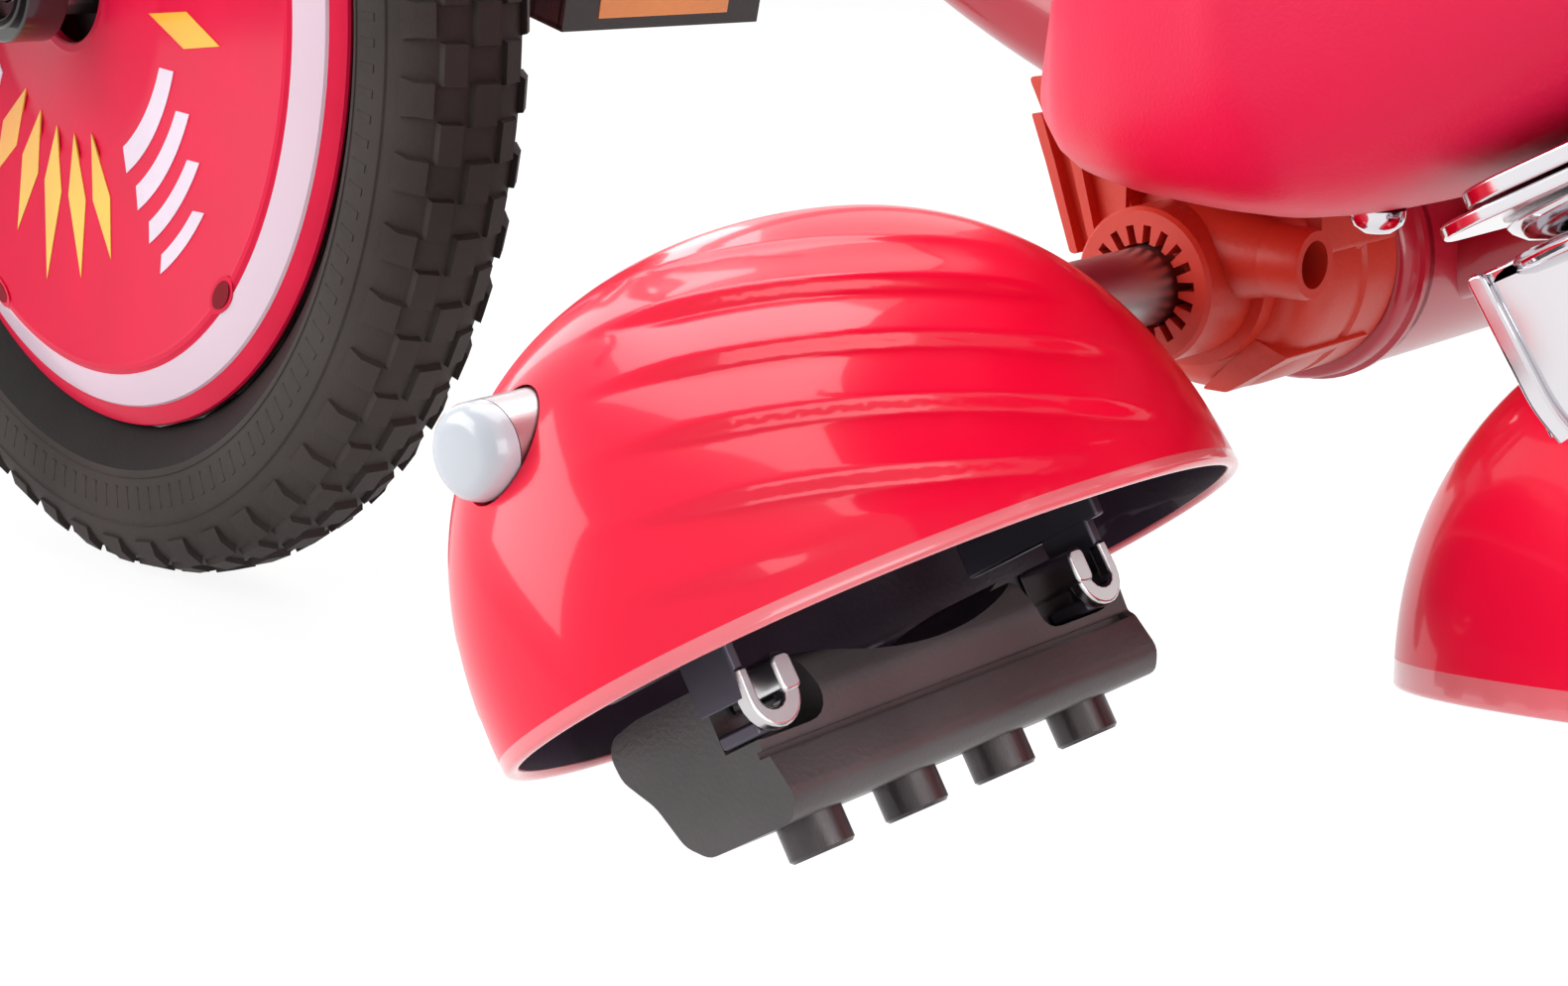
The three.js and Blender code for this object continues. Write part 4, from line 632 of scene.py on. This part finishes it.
def frame_tubes(crossbar_z=173.6, stay_x=36):
    top = in_row(HEAD, 0, 0, 311.2)
    path = bent([top, Vector((0, -330, 236)), Vector((0, CROSSBAR_Y, 173))], 80, 28)
    parts = [(sweep(path, 17, 48), 0)]
    parts.append((sweep([(x, CROSSBAR_Y, crossbar_z) for x in (-57, 57)], 27, 72), 0))
    collar = [(19.5, 55), (27, 55), (27, 58.2), (27.9, 59), (27.9, 60.6), (27, 61.4), (26.8, 66.4),
              (26, 67.6), (24.6, 68), (19.5, 68), (19.5, 55)]
    for side in (-1, 1):
        parts.append((moved(lathe(flipped(collar, side), 72), 0, CROSSBAR_Y, crossbar_z), 0))
        end = in_row(CASTER, 0, 6, -2)
        parts.append((sweep([(side * stay_x, CROSSBAR_Y, 163), (side * stay_x, end.y, end.z)], 9.5, 36), 0))
    gusset = rounded([(-500, 182), (-482, 182), (-474, 204.2), (-486, 201.2), (-500, 199.8)], 2)
    parts.append((prism(gusset, -66, 66), 0))
    add("frame_tubing", "frame_body", parts, ROW, ["frame"], angle=42)


def rear_plate():
    spots = [(x - CASTER_X, BOLT_Y) for x in (-BOLT_SPREAD, BOLT_SPREAD)]
    parts = [(moved(plate(190, -34, 18, 12, 3.4, 6.4), -CASTER_X), 0)]
    parts += [(moved(ring(8, 3.4, 7.2, 8.4, 40, "z"), *spot), 0) for spot in spots]
    add("frame_rear_plate", "frame_body", parts, CASTER, ["chrome"], soft=0.8)
    head = lathe([(0, -1.6), (4.4, -1.4), (6.4, 0.6), (6.5, 3), (0, 3)], 40, "z")
    bolts = [(moved(shape, *spot), 0) for spot in spots for shape in (head, disc(3, 2, 14.5, 32, "z"))]
    add("seat_bolt_pair", "frame_body", bolts, CASTER, ["polished"], ["seat_bolt_left", "seat_bolt_right"],
        angle=40)


# Seat, as shares of its length, height, half width and depth of the sides
SPINE_SHARES = [(0, 0.0885), (0.028, 0.049), (0.083, 0.02), (0.157, 0.0045), (0.219, 0), (0.29, 0),
                (0.383, 0.004), (0.46, 0.0435), (0.614, 0.164), (0.74, 0.262), (0.845, 0.4), (0.92, 0.59),
                (0.97, 0.8), (1, 1)]
WIDTH_SHARES = [0.34, 0.46, 0.61, 0.76, 0.87, 0.95, 0.995, 1, 1, 0.985, 0.95, 0.88, 0.76, 0.58]
SIDE_SHARES = [0.06, 0.14, 0.3, 0.5, 0.68, 0.84, 0.96, 1, 1, 0.92, 0.74, 0.5, 0.28, 0.1]


def seat_rows(inset, each=7, columns=90):
    line = spline([(*spine, w, s) for spine, w, s in zip(SPINE_SHARES, WIDTH_SHARES, SIDE_SHARES)], each)
    rows = []
    for k, (length, height, width, side) in enumerate(line):
        after, before = line[min(k + 1, len(line) - 1)], line[max(k - 1, 0)]
        ay, az = -(after[0] - before[0]) * SEAT_LENGTH, (after[1] - before[1]) * SEAT_HEIGHT
        size = math.hypot(ay, az)
        normal = Vector((0, az / size, -ay / size))
        spot = Vector((0, SEAT_Y - SEAT_LENGTH * length, SEAT_Z + SEAT_HEIGHT * height)) + normal * inset
        half = SEAT_HALF * width - inset
        row = []
        for j in range(columns + 1):
            turn = math.radians(84 * (2 * j / columns - 1))
            reach = (abs(math.sin(turn)) ** 12 + math.cos(turn) ** 12) ** (-1 / 12)
            lift = SEAT_DEPTH * side * (1 - reach * math.cos(turn))
            row.append(spot + Vector((half * reach * math.sin(turn), 0, 0)) + normal * lift)
        rows.append(row)
    return rows


def seat():
    outer, inner = seat_rows(0), seat_rows(SEAT_WALL)
    rows, columns = len(outer), len(outer[0])
    points = [tuple(q) for layer in (outer, inner) for row in layer for q in row]
    faces = []

    def at(layer, i, j):
        return layer * rows * columns + i * columns + j

    for i in range(rows - 1):
        for j in range(columns - 1):
            for layer in (0, 1):
                low, high = at(layer, i, j), at(layer, i + 1, j)
                faces.append([low, low + 1, high + 1, high])
        for j in (0, columns - 1):
            faces.append([at(0, i, j), at(0, i + 1, j), at(1, i + 1, j), at(1, i, j)])
    for j in range(columns - 1):
        for i in (0, rows - 1):
            faces.append([at(0, i, j), at(0, i, j + 1), at(1, i, j + 1), at(1, i, j)])
    middle = [[(a + b) / 2 for a, b in zip(p, q)] for p, q in zip(outer, inner)]
    edge = middle[0] + [row[-1] for row in middle[1:]]
    edge += middle[-1][-2::-1] + [row[0] for row in middle[-2:0:-1]]
    parts = [((points, faces), 0), (sweep(edge, 3.2, 14, True), 0)]
    add("seat_bucket", "frame_body", parts, ROW, ["seat"], ["seat_shell"], angle=50)
    stud = lathe([(0, -2.6), (2.6, -2.3), (4.4, -0.9), (4.9, 0.5), (4.9, 1.8), (0, 1.8)], 40, "z")
    studs = [(moved(stud, x, -568, 200.9), 0) for x in (-160, 160)]
    add("seat_side_studs", "frame_body", studs, ROW, ["chrome"], angle=40)


# Bar housings
def notched_ring(low, high, bevel=0.8, notches=18, shares=(0.0, 0.42, 0.5, 0.92)):
    total = notches * len(shares)
    back = 3 * total
    points, faces = [], []
    for x, rim_x in ((low, low + bevel), (high, high)):
        for radii, at in (((8.7, 8.7, 12.4, 12.4), x), ((15.2,) * 4, x), ((16.0,) * 4, rim_x)):
            for k in range(notches):
                for share, r in zip(shares, radii):
                    t = 2 * math.pi * (k + share) / notches
                    points.append((at, r * math.cos(t), r * math.sin(t)))
    joints = ((0, total), (total, 2 * total), (2 * total, back + 2 * total), (0, back), (back, back + total),
              (back + total, back + 2 * total))
    for k in range(total):
        n = (k + 1) % total
        faces += [[near + k, near + n, far + n, far + k] for near, far in joints]
    return points, faces


def housing():
    body = lathe([(0, -104), (18, -104), (21.5, -103), (24.2, -100), (25.3, -96), (25.5, -92), (25.5, -84),
                  (24.8, -83), (24.8, -81), (25.5, -80), (25.5, -68.4), (0, -68.4)], 72)
    web = rounded([(-25, 4), (20, 4), (29, 22), (-25, 22)], 2.5)
    # look 1 (painted shade) darkens the thin ring inside the notched boss and the disc deep in the neck tube
    parts = [(body, 0), (notched_ring(-124.0, -117.0), 0), (ring(16, 8.7, -117.3, -103, 72), 0),
             (ring(18.6, 15.4, -108, -103, 72), 0), (ring(12.6, 8.4, -117.2, -116.8, 48), 1),
             (prism(web, -98, -68.4), 0)]
    for n in range(4):
        y = 20 - n * 11.2
        rib = rounded([(y - 2.6, 3), (y, 3), (y + 9, 22), (y + 6.4, 22)], 0.8)
        parts.append((prism(rib, -112, -95), 0))
    fin = rounded([(12, 3), (21, 2.5), (30.5, 18), (28.5, 22), (37, 38), (32, 38.5), (23, 27), (12, 21)], 1.5)
    parts += [(prism(fin, x, x + 3.6), 0) for x in (-113, -97)]
    for low_y, high_y in ((16, 22.5), (21.5, 29)):
        ridge = rounded([(low_y, 3), (low_y + 2, 3), (high_y + 1, 21), (high_y + 5, 31), (high_y + 2.4, 31),
                         (high_y - 1.4, 21)], 0.8)
        parts.append((prism(ridge, -116, -112.5), 0))
    back_rib = rounded([(-22, -15), (-8, -24), (-2, -24), (-14, -12)], 1)
    parts.append((prism(back_rib, -104, -72), 0))
    turn = Matrix.Rotation(math.radians(90), 4, "X")
    tube = lathe([(4.8, 12), (7.6, 12), (7.2, 29.6), (6.7, 31), (4.8, 31), (4.8, 12)], 48, "z")
    neck = lathe([(0, 4), (10.5, 4), (8.6, 16), (7.4, 22), (4.9, 22), (0, 18)], 48, "z")
    for shape, look in ((tube, 0), (neck, 0), (disc(4.9, 20.5, 21.5, 32, "z"), 1)):
        parts.append((moved(shape, -110, 0, 6, turn), look))
    add("housing_body", "frame_body", parts, BAR, ["housing", "painted_shade_hole"], ["bar_housing_{s}"], both=True,
        angle=34)


# Spark bar, dome, holder, cartridge
def bar():
    tube = ring(8, 6.5, -303, -34, 56)
    add("bar_tube", "spark_{s}", [(tube, 0)], BAR, ["steel"], ["spark_bar_{s}"], both=True, angle=40)
    cap = lathe([(0, -309), (4.4, -309), (6.2, -308.6), (7.4, -307.4), (8, -305.6), (8, -303.2),
                 (6.2, -303.2), (6.2, -289), (0, -289)], 56)
    add("bar_plug", "spark_{s}", [(cap, 0)], BAR, ["plug"], ["bar_end_cap_{s}"], both=True, angle=40)


def ease(value, low, high):
    t = min(max((value - low) / (high - low), 0), 1)
    return t * t * (3 - 2 * t)


def dome_point(half_x, half_y, height, level, turn, ribs, rib_pitch=12.7, rib_depth=2.5):
    angle = level * math.pi / 2
    reach = math.sin(angle) ** (2 / 2.3)
    rise = max(math.cos(angle), 0) ** (2 / 2.3)
    c, s = math.cos(turn), math.sin(turn)
    across = math.copysign(abs(c) ** (2 / 2.1), c)
    along = math.copysign(abs(s) ** (2 / 2.1), s)
    spot = Vector((half_x * across * reach, half_y * along * reach, height * rise))
    if ribs:
        out = Vector((spot.x / half_x ** 2, spot.y / half_y ** 2, spot.z / height ** 2))
        out = out.normalized() if out.length else Vector((0, 0, 1))
        phase = (spot.z + 0.25 * spot.x - 2.5) / rib_pitch
        step = phase - math.floor(phase)
        wave = (1 - step) * ease(step, 0, 0.16)
        mask = ease(across, -0.94, -0.70) * ease(-across, -0.46, -0.14)
        mask *= ease(spot.z, 4, 10) * ease(-phase, -4.3, -3.4)
        spot += out * rib_depth * (wave - 0.45) * mask * ease(abs(spot.y) / half_y, 0.1, 0.35)
    return spot


def dome_shape(half_x, half_y, height, ribs, spokes=200, rings=130, wall=2.6, inner_rings=24, lip_steps=8):
    def row(inset, top, level, ribbed):
        return [dome_point(half_x - inset, half_y - inset, top, level, 2 * math.pi * j / spokes, ribbed)
                for j in range(spokes)]

    outer = [row(0, height, i / rings, ribs) for i in range(1, rings + 1)]
    painted_highlight_lip = []
    for k in range(1, lip_steps):
        t = math.pi * k / lip_steps
        drop = Vector((0, 0, 1.1 * math.sin(t)))
        painted_highlight_lip.append([q - drop for q in row(wall / 2 - wall / 2 * math.cos(t), height, 1, False)])
    inner = [row(wall, height - wall, i / inner_rings, False) for i in range(inner_rings, 0, -1)]
    points = [(0, 0, height)] + [tuple(q) for layer in outer + painted_highlight_lip + inner for q in layer]
    points.append((0, 0, height - wall))
    faces = [[0, 1 + j, 1 + (j + 1) % spokes] for j in range(spokes)]
    looks = [0] * spokes
    count = len(outer) + len(painted_highlight_lip) + len(inner)
    for i in range(count - 1):
        start = 1 + i * spokes
        for j in range(spokes):
            n = (j + 1) % spokes
            faces.append([start + j, start + spokes + j, start + spokes + n, start + n])
        # look 1 is the rim lip with its painted highlight, look 2 the inside with its painted shade
        look = 0 if i < len(outer) - 2 else 1 if i < len(outer) + len(painted_highlight_lip) else 2
        looks += [look] * spokes
    start = 1 + (count - 1) * spokes
    faces += [[len(points) - 1, start + (j + 1) % spokes, start + j] for j in range(spokes)]
    looks += [2] * spokes
    return (points, faces), looks


def dome():
    shape, looks = dome_shape(84.5, 48.5, 72, True)
    shape = moved(shape, -2.5, 0, -45, Matrix.Rotation(math.radians(-4), 4, "X"))
    add("dome_shell", "spark_{s}", [(shape, looks)], PAD, ["dome", "painted_highlight_lip", "painted_shade_lining"], ["palm_dome_{s}"],
        both=True, angle=60, cutters=[disc(8.5, -120, 120, 48)])


def hook_outline(side, outer, wall, curl=6, curl_z=-51.5):
    centre = outer - curl
    made = []
    for k in range(13):
        t = math.pi * k / 12
        made.append((centre + curl * math.cos(t), curl_z - curl * math.sin(t)))
    made.append((centre - 6.2, -48.4))
    for k in range(9):
        t = math.pi * k / 8
        made.append((centre - 4.1 - 2.3 * math.cos(t), -47.4 + 1.9 * math.sin(t)))
    made.append((centre - 1.9, -49.4))
    for k in range(9):
        t = math.pi - math.pi * k / 8
        made.append((centre + 0.6 + 2.8 * math.cos(t), curl_z - 2.4 * math.sin(t)))
    made += [(outer - wall, -46), (outer - 0.2, -46)]
    return [(side * x, z) for x, z in made]


def holder(wall=2.6, left=-53.6, right=46.8):
    # look 1, the steel with painted shade, goes on the holder's plates; the hooks stay polished
    parts = [(box(left, right, -12, 22, -11.6, -9), 1), (ring(10.9, 8.3, left, right, 56), 1)]
    for side, outer in ((-1, -left), (1, right)):
        low, high = sorted((side * (outer - wall), side * outer))
        parts.append((box(low, high, -12, 22, -42, -9), 1))
        parts.append((prism(hook_outline(side, outer, wall), -9.5, -6.6, "y"), 0))
        tip_out, tip_in = side * (outer - 12.4), side * (outer - 7.8)
        tip = rounded([(tip_out, -52.5), (tip_out, -45.8), (tip_in, -45.8), (tip_in, -52.5)], 1.6)
        parts.append((prism(tip, -9.9, 2.8, "y"), 0))
        parts.append((box(*sorted((side * (outer - 9), side * (outer - 2))), -6.6, 2.6, -57.2, -54.6), 1))
        neck = [(side * (outer - wall), -47), (side * (outer - wall), -41), (side * outer, -41),
                (side * outer, -51.5)]
        parts.append((prism(neck, -9, 2.6, "y"), 1))
    add("holder_bracket", "spark_{s}", parts, PAD, ["polished", "painted_shade_steel"], ["pad_holder_{s}"], both=True,
        soft=0.7)


def cartridge(half=50.5, depth=36.3, height=25.8, back=-7.4, foot=-71.7, rods=4, rod_pitch=24.7, rod_y=5):
    shares = [(0.07, 0), (0.65, 0), (0.77, 0.13), (0.85, 0.44), (0.99, 0.68), (1, 0.86), (0.94, 0.96),
              (0.75, 1), (0.24, 1), (0.12, 0.93), (0.06, 0.72), (0.075, 0.47), (0.045, 0.43), (0, 0.15)]
    outline = rounded([(back + depth * d, foot + height * h) for d, h in shares], 1.6, 3)
    top = foot + height
    pocket_wide, dip = 21, 6
    tools = []
    for side, outer in ((-1, 53.9), (1, 47.1)):
        low, high = sorted((side * outer, side * (outer - pocket_wide)))
        pocket = rounded([(low, -57.8), (high, -57.8), (high, top + 9), (low, top + 9)], 5)
        tools.append(prism(pocket, -20, 3.4, "y"))
    radius = (half - pocket_wide) ** 2 / (2 * dip)
    saddle = disc(radius, -14, 40, 128, "z")
    tools.append(moved(saddle, 0, 0, top + radius - dip, Matrix.Rotation(math.radians(-90), 4, "X")))
    rod_places = [(i - (rods - 1) / 2) * rod_pitch for i in range(rods)]
    tools += [moved(disc(6.2, -80, -63.7, 48, "z"), x, rod_y) for x in rod_places]
    tools.append(box(-60, 48.6, -9, -3.4, -60.7, -59.5))
    tools.append(box(-60, -44, -9, -4.4, -57.6, -57.0))
    add("cartridge_block", "spark_{s}", [(prism(outline, -half, half), 0)], PAD, ["cartridge"],
        ["spark_cartridge_{s}"], both=True, soft=0.7, cutters=tools)
    rod = lathe([(0, -78), (5.2, -78), (5.8, -77.4), (5.8, -64), (0, -64)], 48, "z")
    parts = [(moved(rod, x, rod_y), 0) for x in rod_places]
    add("flint_rods", "spark_{s}", parts, PAD, ["flint"], ["spark_flints_{s}"], both=True, angle=40)


# Casters
def caster_top():
    cup = lathe([(0, -5), (15.5, -5), (19, -4.5), (22.6, -3.2), (24.6, -1.4), (25.4, 0.1), (0, 0.1)], 64, "z")
    parts = [(plate(36, -31, 26, 14, 0.6, 3), 0), (cup, 0), (disc(6, -17, -2, 40, "z"), 0),
             (prism(hexagon(9.5), -16.6, -9.7, "z"), 0)]
    add("caster_top_plate", "frame_body", parts, CASTER, ["chrome"], ["caster_plate_{s}"], both=True,
        soft=0.6)


def caster_yoke():
    drop = CASTER_DROP
    leg = rounded([(26, -5.6), (-26, -5.6), (-54, -drop + 14), (-54, -drop), (-47, -drop - 14),
                   (-33, -drop - 14), (-26, -drop), (21, -drop / 2), (25, -24)], 9, 6)
    rail = rounded([(27, -5.6), (23.5, -5.6), (21, -30), (-29, -drop + 8), (-26, -drop + 6), (24.6, -30)], 3)
    crown = lathe([(6.6, -9.3), (26, -9.3), (28, -8.4), (28.4, -6.6), (27, -5.4), (6.6, -5.4), (6.6, -9.3)],
                  64, "z")
    parts = [(crown, 0)]
    for side in (-1, 1):
        for outline, near, far in ((leg, 18, 21), (rail, 21, 22.6)):
            parts.append((prism(outline, *sorted((side * near, side * far))), 0))
    parts.append((plate(21, -26, 27, 4, -8.8, -5.8), 0))
    add("caster_yoke", "caster_{s}", parts, CASTER, ["chrome"], ["caster_fork_{s}"], both=True, soft=0.7)


def at_hub(shapes):
    return [(moved(shape, 0, -CASTER_TRAIL, -CASTER_DROP), 0) for shape in shapes]


def caster_wheel():
    axle = [disc(4, -24, 24, 32)]
    for side in (-1, 1):
        axle.append(prism(hexagon(7), *sorted((side * 21.3, side * 25.8))))
        axle.append(ring(8.6, 4.2, *sorted((side * 21.05, side * 22)), 40))
    add("caster_axle_bolt", "caster_{s}", at_hub(axle), CASTER, ["polished"], ["caster_axle_{s}"], both=True,
        soft=0.4)
    half = [(58.3, 13), (64.9, 13), (69.4, 10.8), (71.5, 7.4), (72, 3)]
    loop = flipped(half, -1) + half[::-1]
    add("caster_tread", "caster_wheel_{s}", at_hub([lathe(loop + [loop[0]], 120)]), CASTER, ["tyre"],
        ["caster_tyre_{s}"], both=True, angle=35)
    web = [(58, 13), (54, 13), (52, 9), (26, 6), (16, 9), (14, 15), (4.4, 15)]
    core = [lathe([(58, -13)] + web + flipped(web[::-1], -1), 96)]
    rib = prism([(15, -1.8), (53, -1.8), (53, 1.8), (15, 1.8)], -11.5, 11.5)
    core += [moved(rib, turn=Matrix.Rotation(math.radians(60 * k), 4, "X")) for k in range(6)]
    add("caster_wheel_core", "caster_wheel_{s}", at_hub(core), CASTER, ["core"], ["caster_core_{s}"],
        both=True, soft=0.5)


def fender():
    turn = (Matrix.Rotation(math.radians(-6.9), 4, "X") @ Matrix.Rotation(math.radians(10.9), 4, "Y")
            @ Matrix.Rotation(math.radians(90), 4, "Z"))
    shape, looks = dome_shape(108.5, 52, 79.3, False, 144, 48)
    shape = moved(shape, -148.2, -681.4, 129.6, turn)
    wheel_room = moved(disc(CASTER_RADIUS + 3, -16, 16, 96), CASTER_X, -734.27, CASTER_RADIUS)
    add("fender_shell", "caster_{s}", [(shape, looks)], ROW, ["dome", "painted_highlight_lip", "painted_shade_lining"], ["caster_fender_{s}"],
        both=True, angle=60, cutters=[wheel_room])


for make in (tyre, cover, cranks, front_axle, fork, stem, handlebar, head_tube, frame_tubes, rear_plate, seat,
             housing, bar, dome, holder, cartridge, caster_top, caster_yoke, caster_wheel, fender):
    make()

# Solids that show as they are get their finish here
for node, look in (("front_rim", "black"), ("hub_and_spokes", "steel"), ("bar_bush_left", "plastic"),
                   ("bar_bush_right", "plastic"), ("return_spring_left", "steel"),
                   ("return_spring_right", "steel")):
    obj = frame["nodes"][node]
    obj.data.materials.clear()
    obj.data.materials.append(LOOK[look])


# Floor, light and camera
def background_rays(tree):
    path = new_node(tree, "LightPath")
    rays = path.outputs["Is Camera Ray"]
    for label in ("Is Transmission Ray", "Is Glossy Ray"):
        most = new_node(tree, "Math")
        most.operation = "MAXIMUM"
        tree.links.new(rays, most.inputs[0])
        tree.links.new(path.outputs[label], most.inputs[1])
        rays = most.outputs[0]
    return rays


def mixed(tree, share, base, shown):
    mix = new_node(tree, "MixShader")
    tree.links.new(share, mix.inputs["Fac"])
    tree.links.new(base.outputs[0], mix.inputs[1])
    tree.links.new(shown.outputs[0], mix.inputs[2])
    return mix.outputs[0]


def ground(size=14, pale=0.8, glow_share=0.84, glow_strength=1.08):
    mesh = bpy.data.meshes.new("floor")
    corners = [(-size, -size, 0), (size, -size, 0), (size, size, 0), (-size, size, 0)]
    mesh.from_pydata(corners, [], [[0, 1, 2, 3]])
    floor = bpy.data.objects.new("floor", mesh)
    bpy.context.scene.collection.objects.link(floor)
    mat = bpy.data.materials.new("floor_pale")
    mat.use_nodes = True
    tree = mat.node_tree
    tree.nodes.clear()
    out = new_node(tree, "OutputMaterial")
    diffuse = new_node(tree, "BsdfDiffuse", Color=(pale, pale, pale, 1))
    glow = new_node(tree, "Emission", Strength=glow_strength)
    share = new_node(tree, "Math")
    share.operation = "MULTIPLY"
    share.inputs[1].default_value = glow_share
    tree.links.new(background_rays(tree), share.inputs[0])
    tree.links.new(mixed(tree, share.outputs[0], diffuse, glow), out.inputs["Surface"])
    floor.data.materials.append(mat)


def world():
    studio = bpy.data.worlds.new("studio")
    bpy.context.scene.world = studio
    studio.use_nodes = True
    tree = studio.node_tree
    light = tree.nodes["Background"]
    light.inputs["Color"].default_value = (0.5, 0.5, 0.51, 1)
    light.inputs["Strength"].default_value = 0.62
    white = new_node(tree, "Background", Color=(1, 1, 1, 1))
    surface = mixed(tree, background_rays(tree), light, white)
    tree.links.new(surface, tree.nodes["World Output"].inputs["Surface"])


def lamps():
    for name, spot, aim, wide, high, power in (
        ("softbox_top", (0.45, 0.15, 1.75), (-0.1, -0.15, 0.2), 2.0, 1.4, 28),
        ("softbox_left", (-1.35, 0.85, 0.95), (-0.25, -0.15, 0.2), 1.5, 1.2, 27),
        ("softbox_right", (-0.2, -2.0, 0.7), (-0.15, -0.3, 0.2), 1.4, 1.0, 17),
        ("softbox_front", (0.9, 1.7, 1.0), (0, 0.1, 0.2), 1.2, 1.2, 12),
    ):
        lamp = bpy.data.lights.new(name, "AREA")
        lamp.shape = "RECTANGLE"
        lamp.size, lamp.size_y = wide, high
        lamp.energy = power
        obj = bpy.data.objects.new(name, lamp)
        obj.location = spot
        obj.rotation_euler = (Vector(aim) - Vector(spot)).to_track_quat("-Z", "Y").to_euler()
        bpy.context.scene.collection.objects.link(obj)


def camera(heading=0.847723, pitch=0.255534, roll=-0.004072, focal_px=3000, centre_px=11.5, frame_px=1581):
    c, s = math.cos(heading), math.sin(heading)
    view = Vector((s * math.cos(pitch), c * math.cos(pitch), -math.sin(pitch)))
    right = Vector((c, -s, 0))
    up = right.cross(view)
    level = right * math.cos(roll) + up * math.sin(roll)
    rise = up * math.cos(roll) - right * math.sin(roll)
    data = bpy.data.cameras.new("photo_camera")
    data.sensor_width = 36
    data.lens = focal_px / frame_px * data.sensor_width
    data.shift_x = centre_px / frame_px
    data.clip_start, data.clip_end = 0.02, 60
    obj = bpy.data.objects.new("photo_camera", data)
    turn = Matrix((level, rise, -view)).transposed().to_4x4()
    obj.matrix_world = Matrix.Translation((-0.611248, -0.524745, 0.285596)) @ turn
    bpy.context.scene.collection.objects.link(obj)
    bpy.context.scene.camera = obj


ground()
world()
lamps()
camera()
bpy.context.scene.view_settings.view_transform = "Standard"
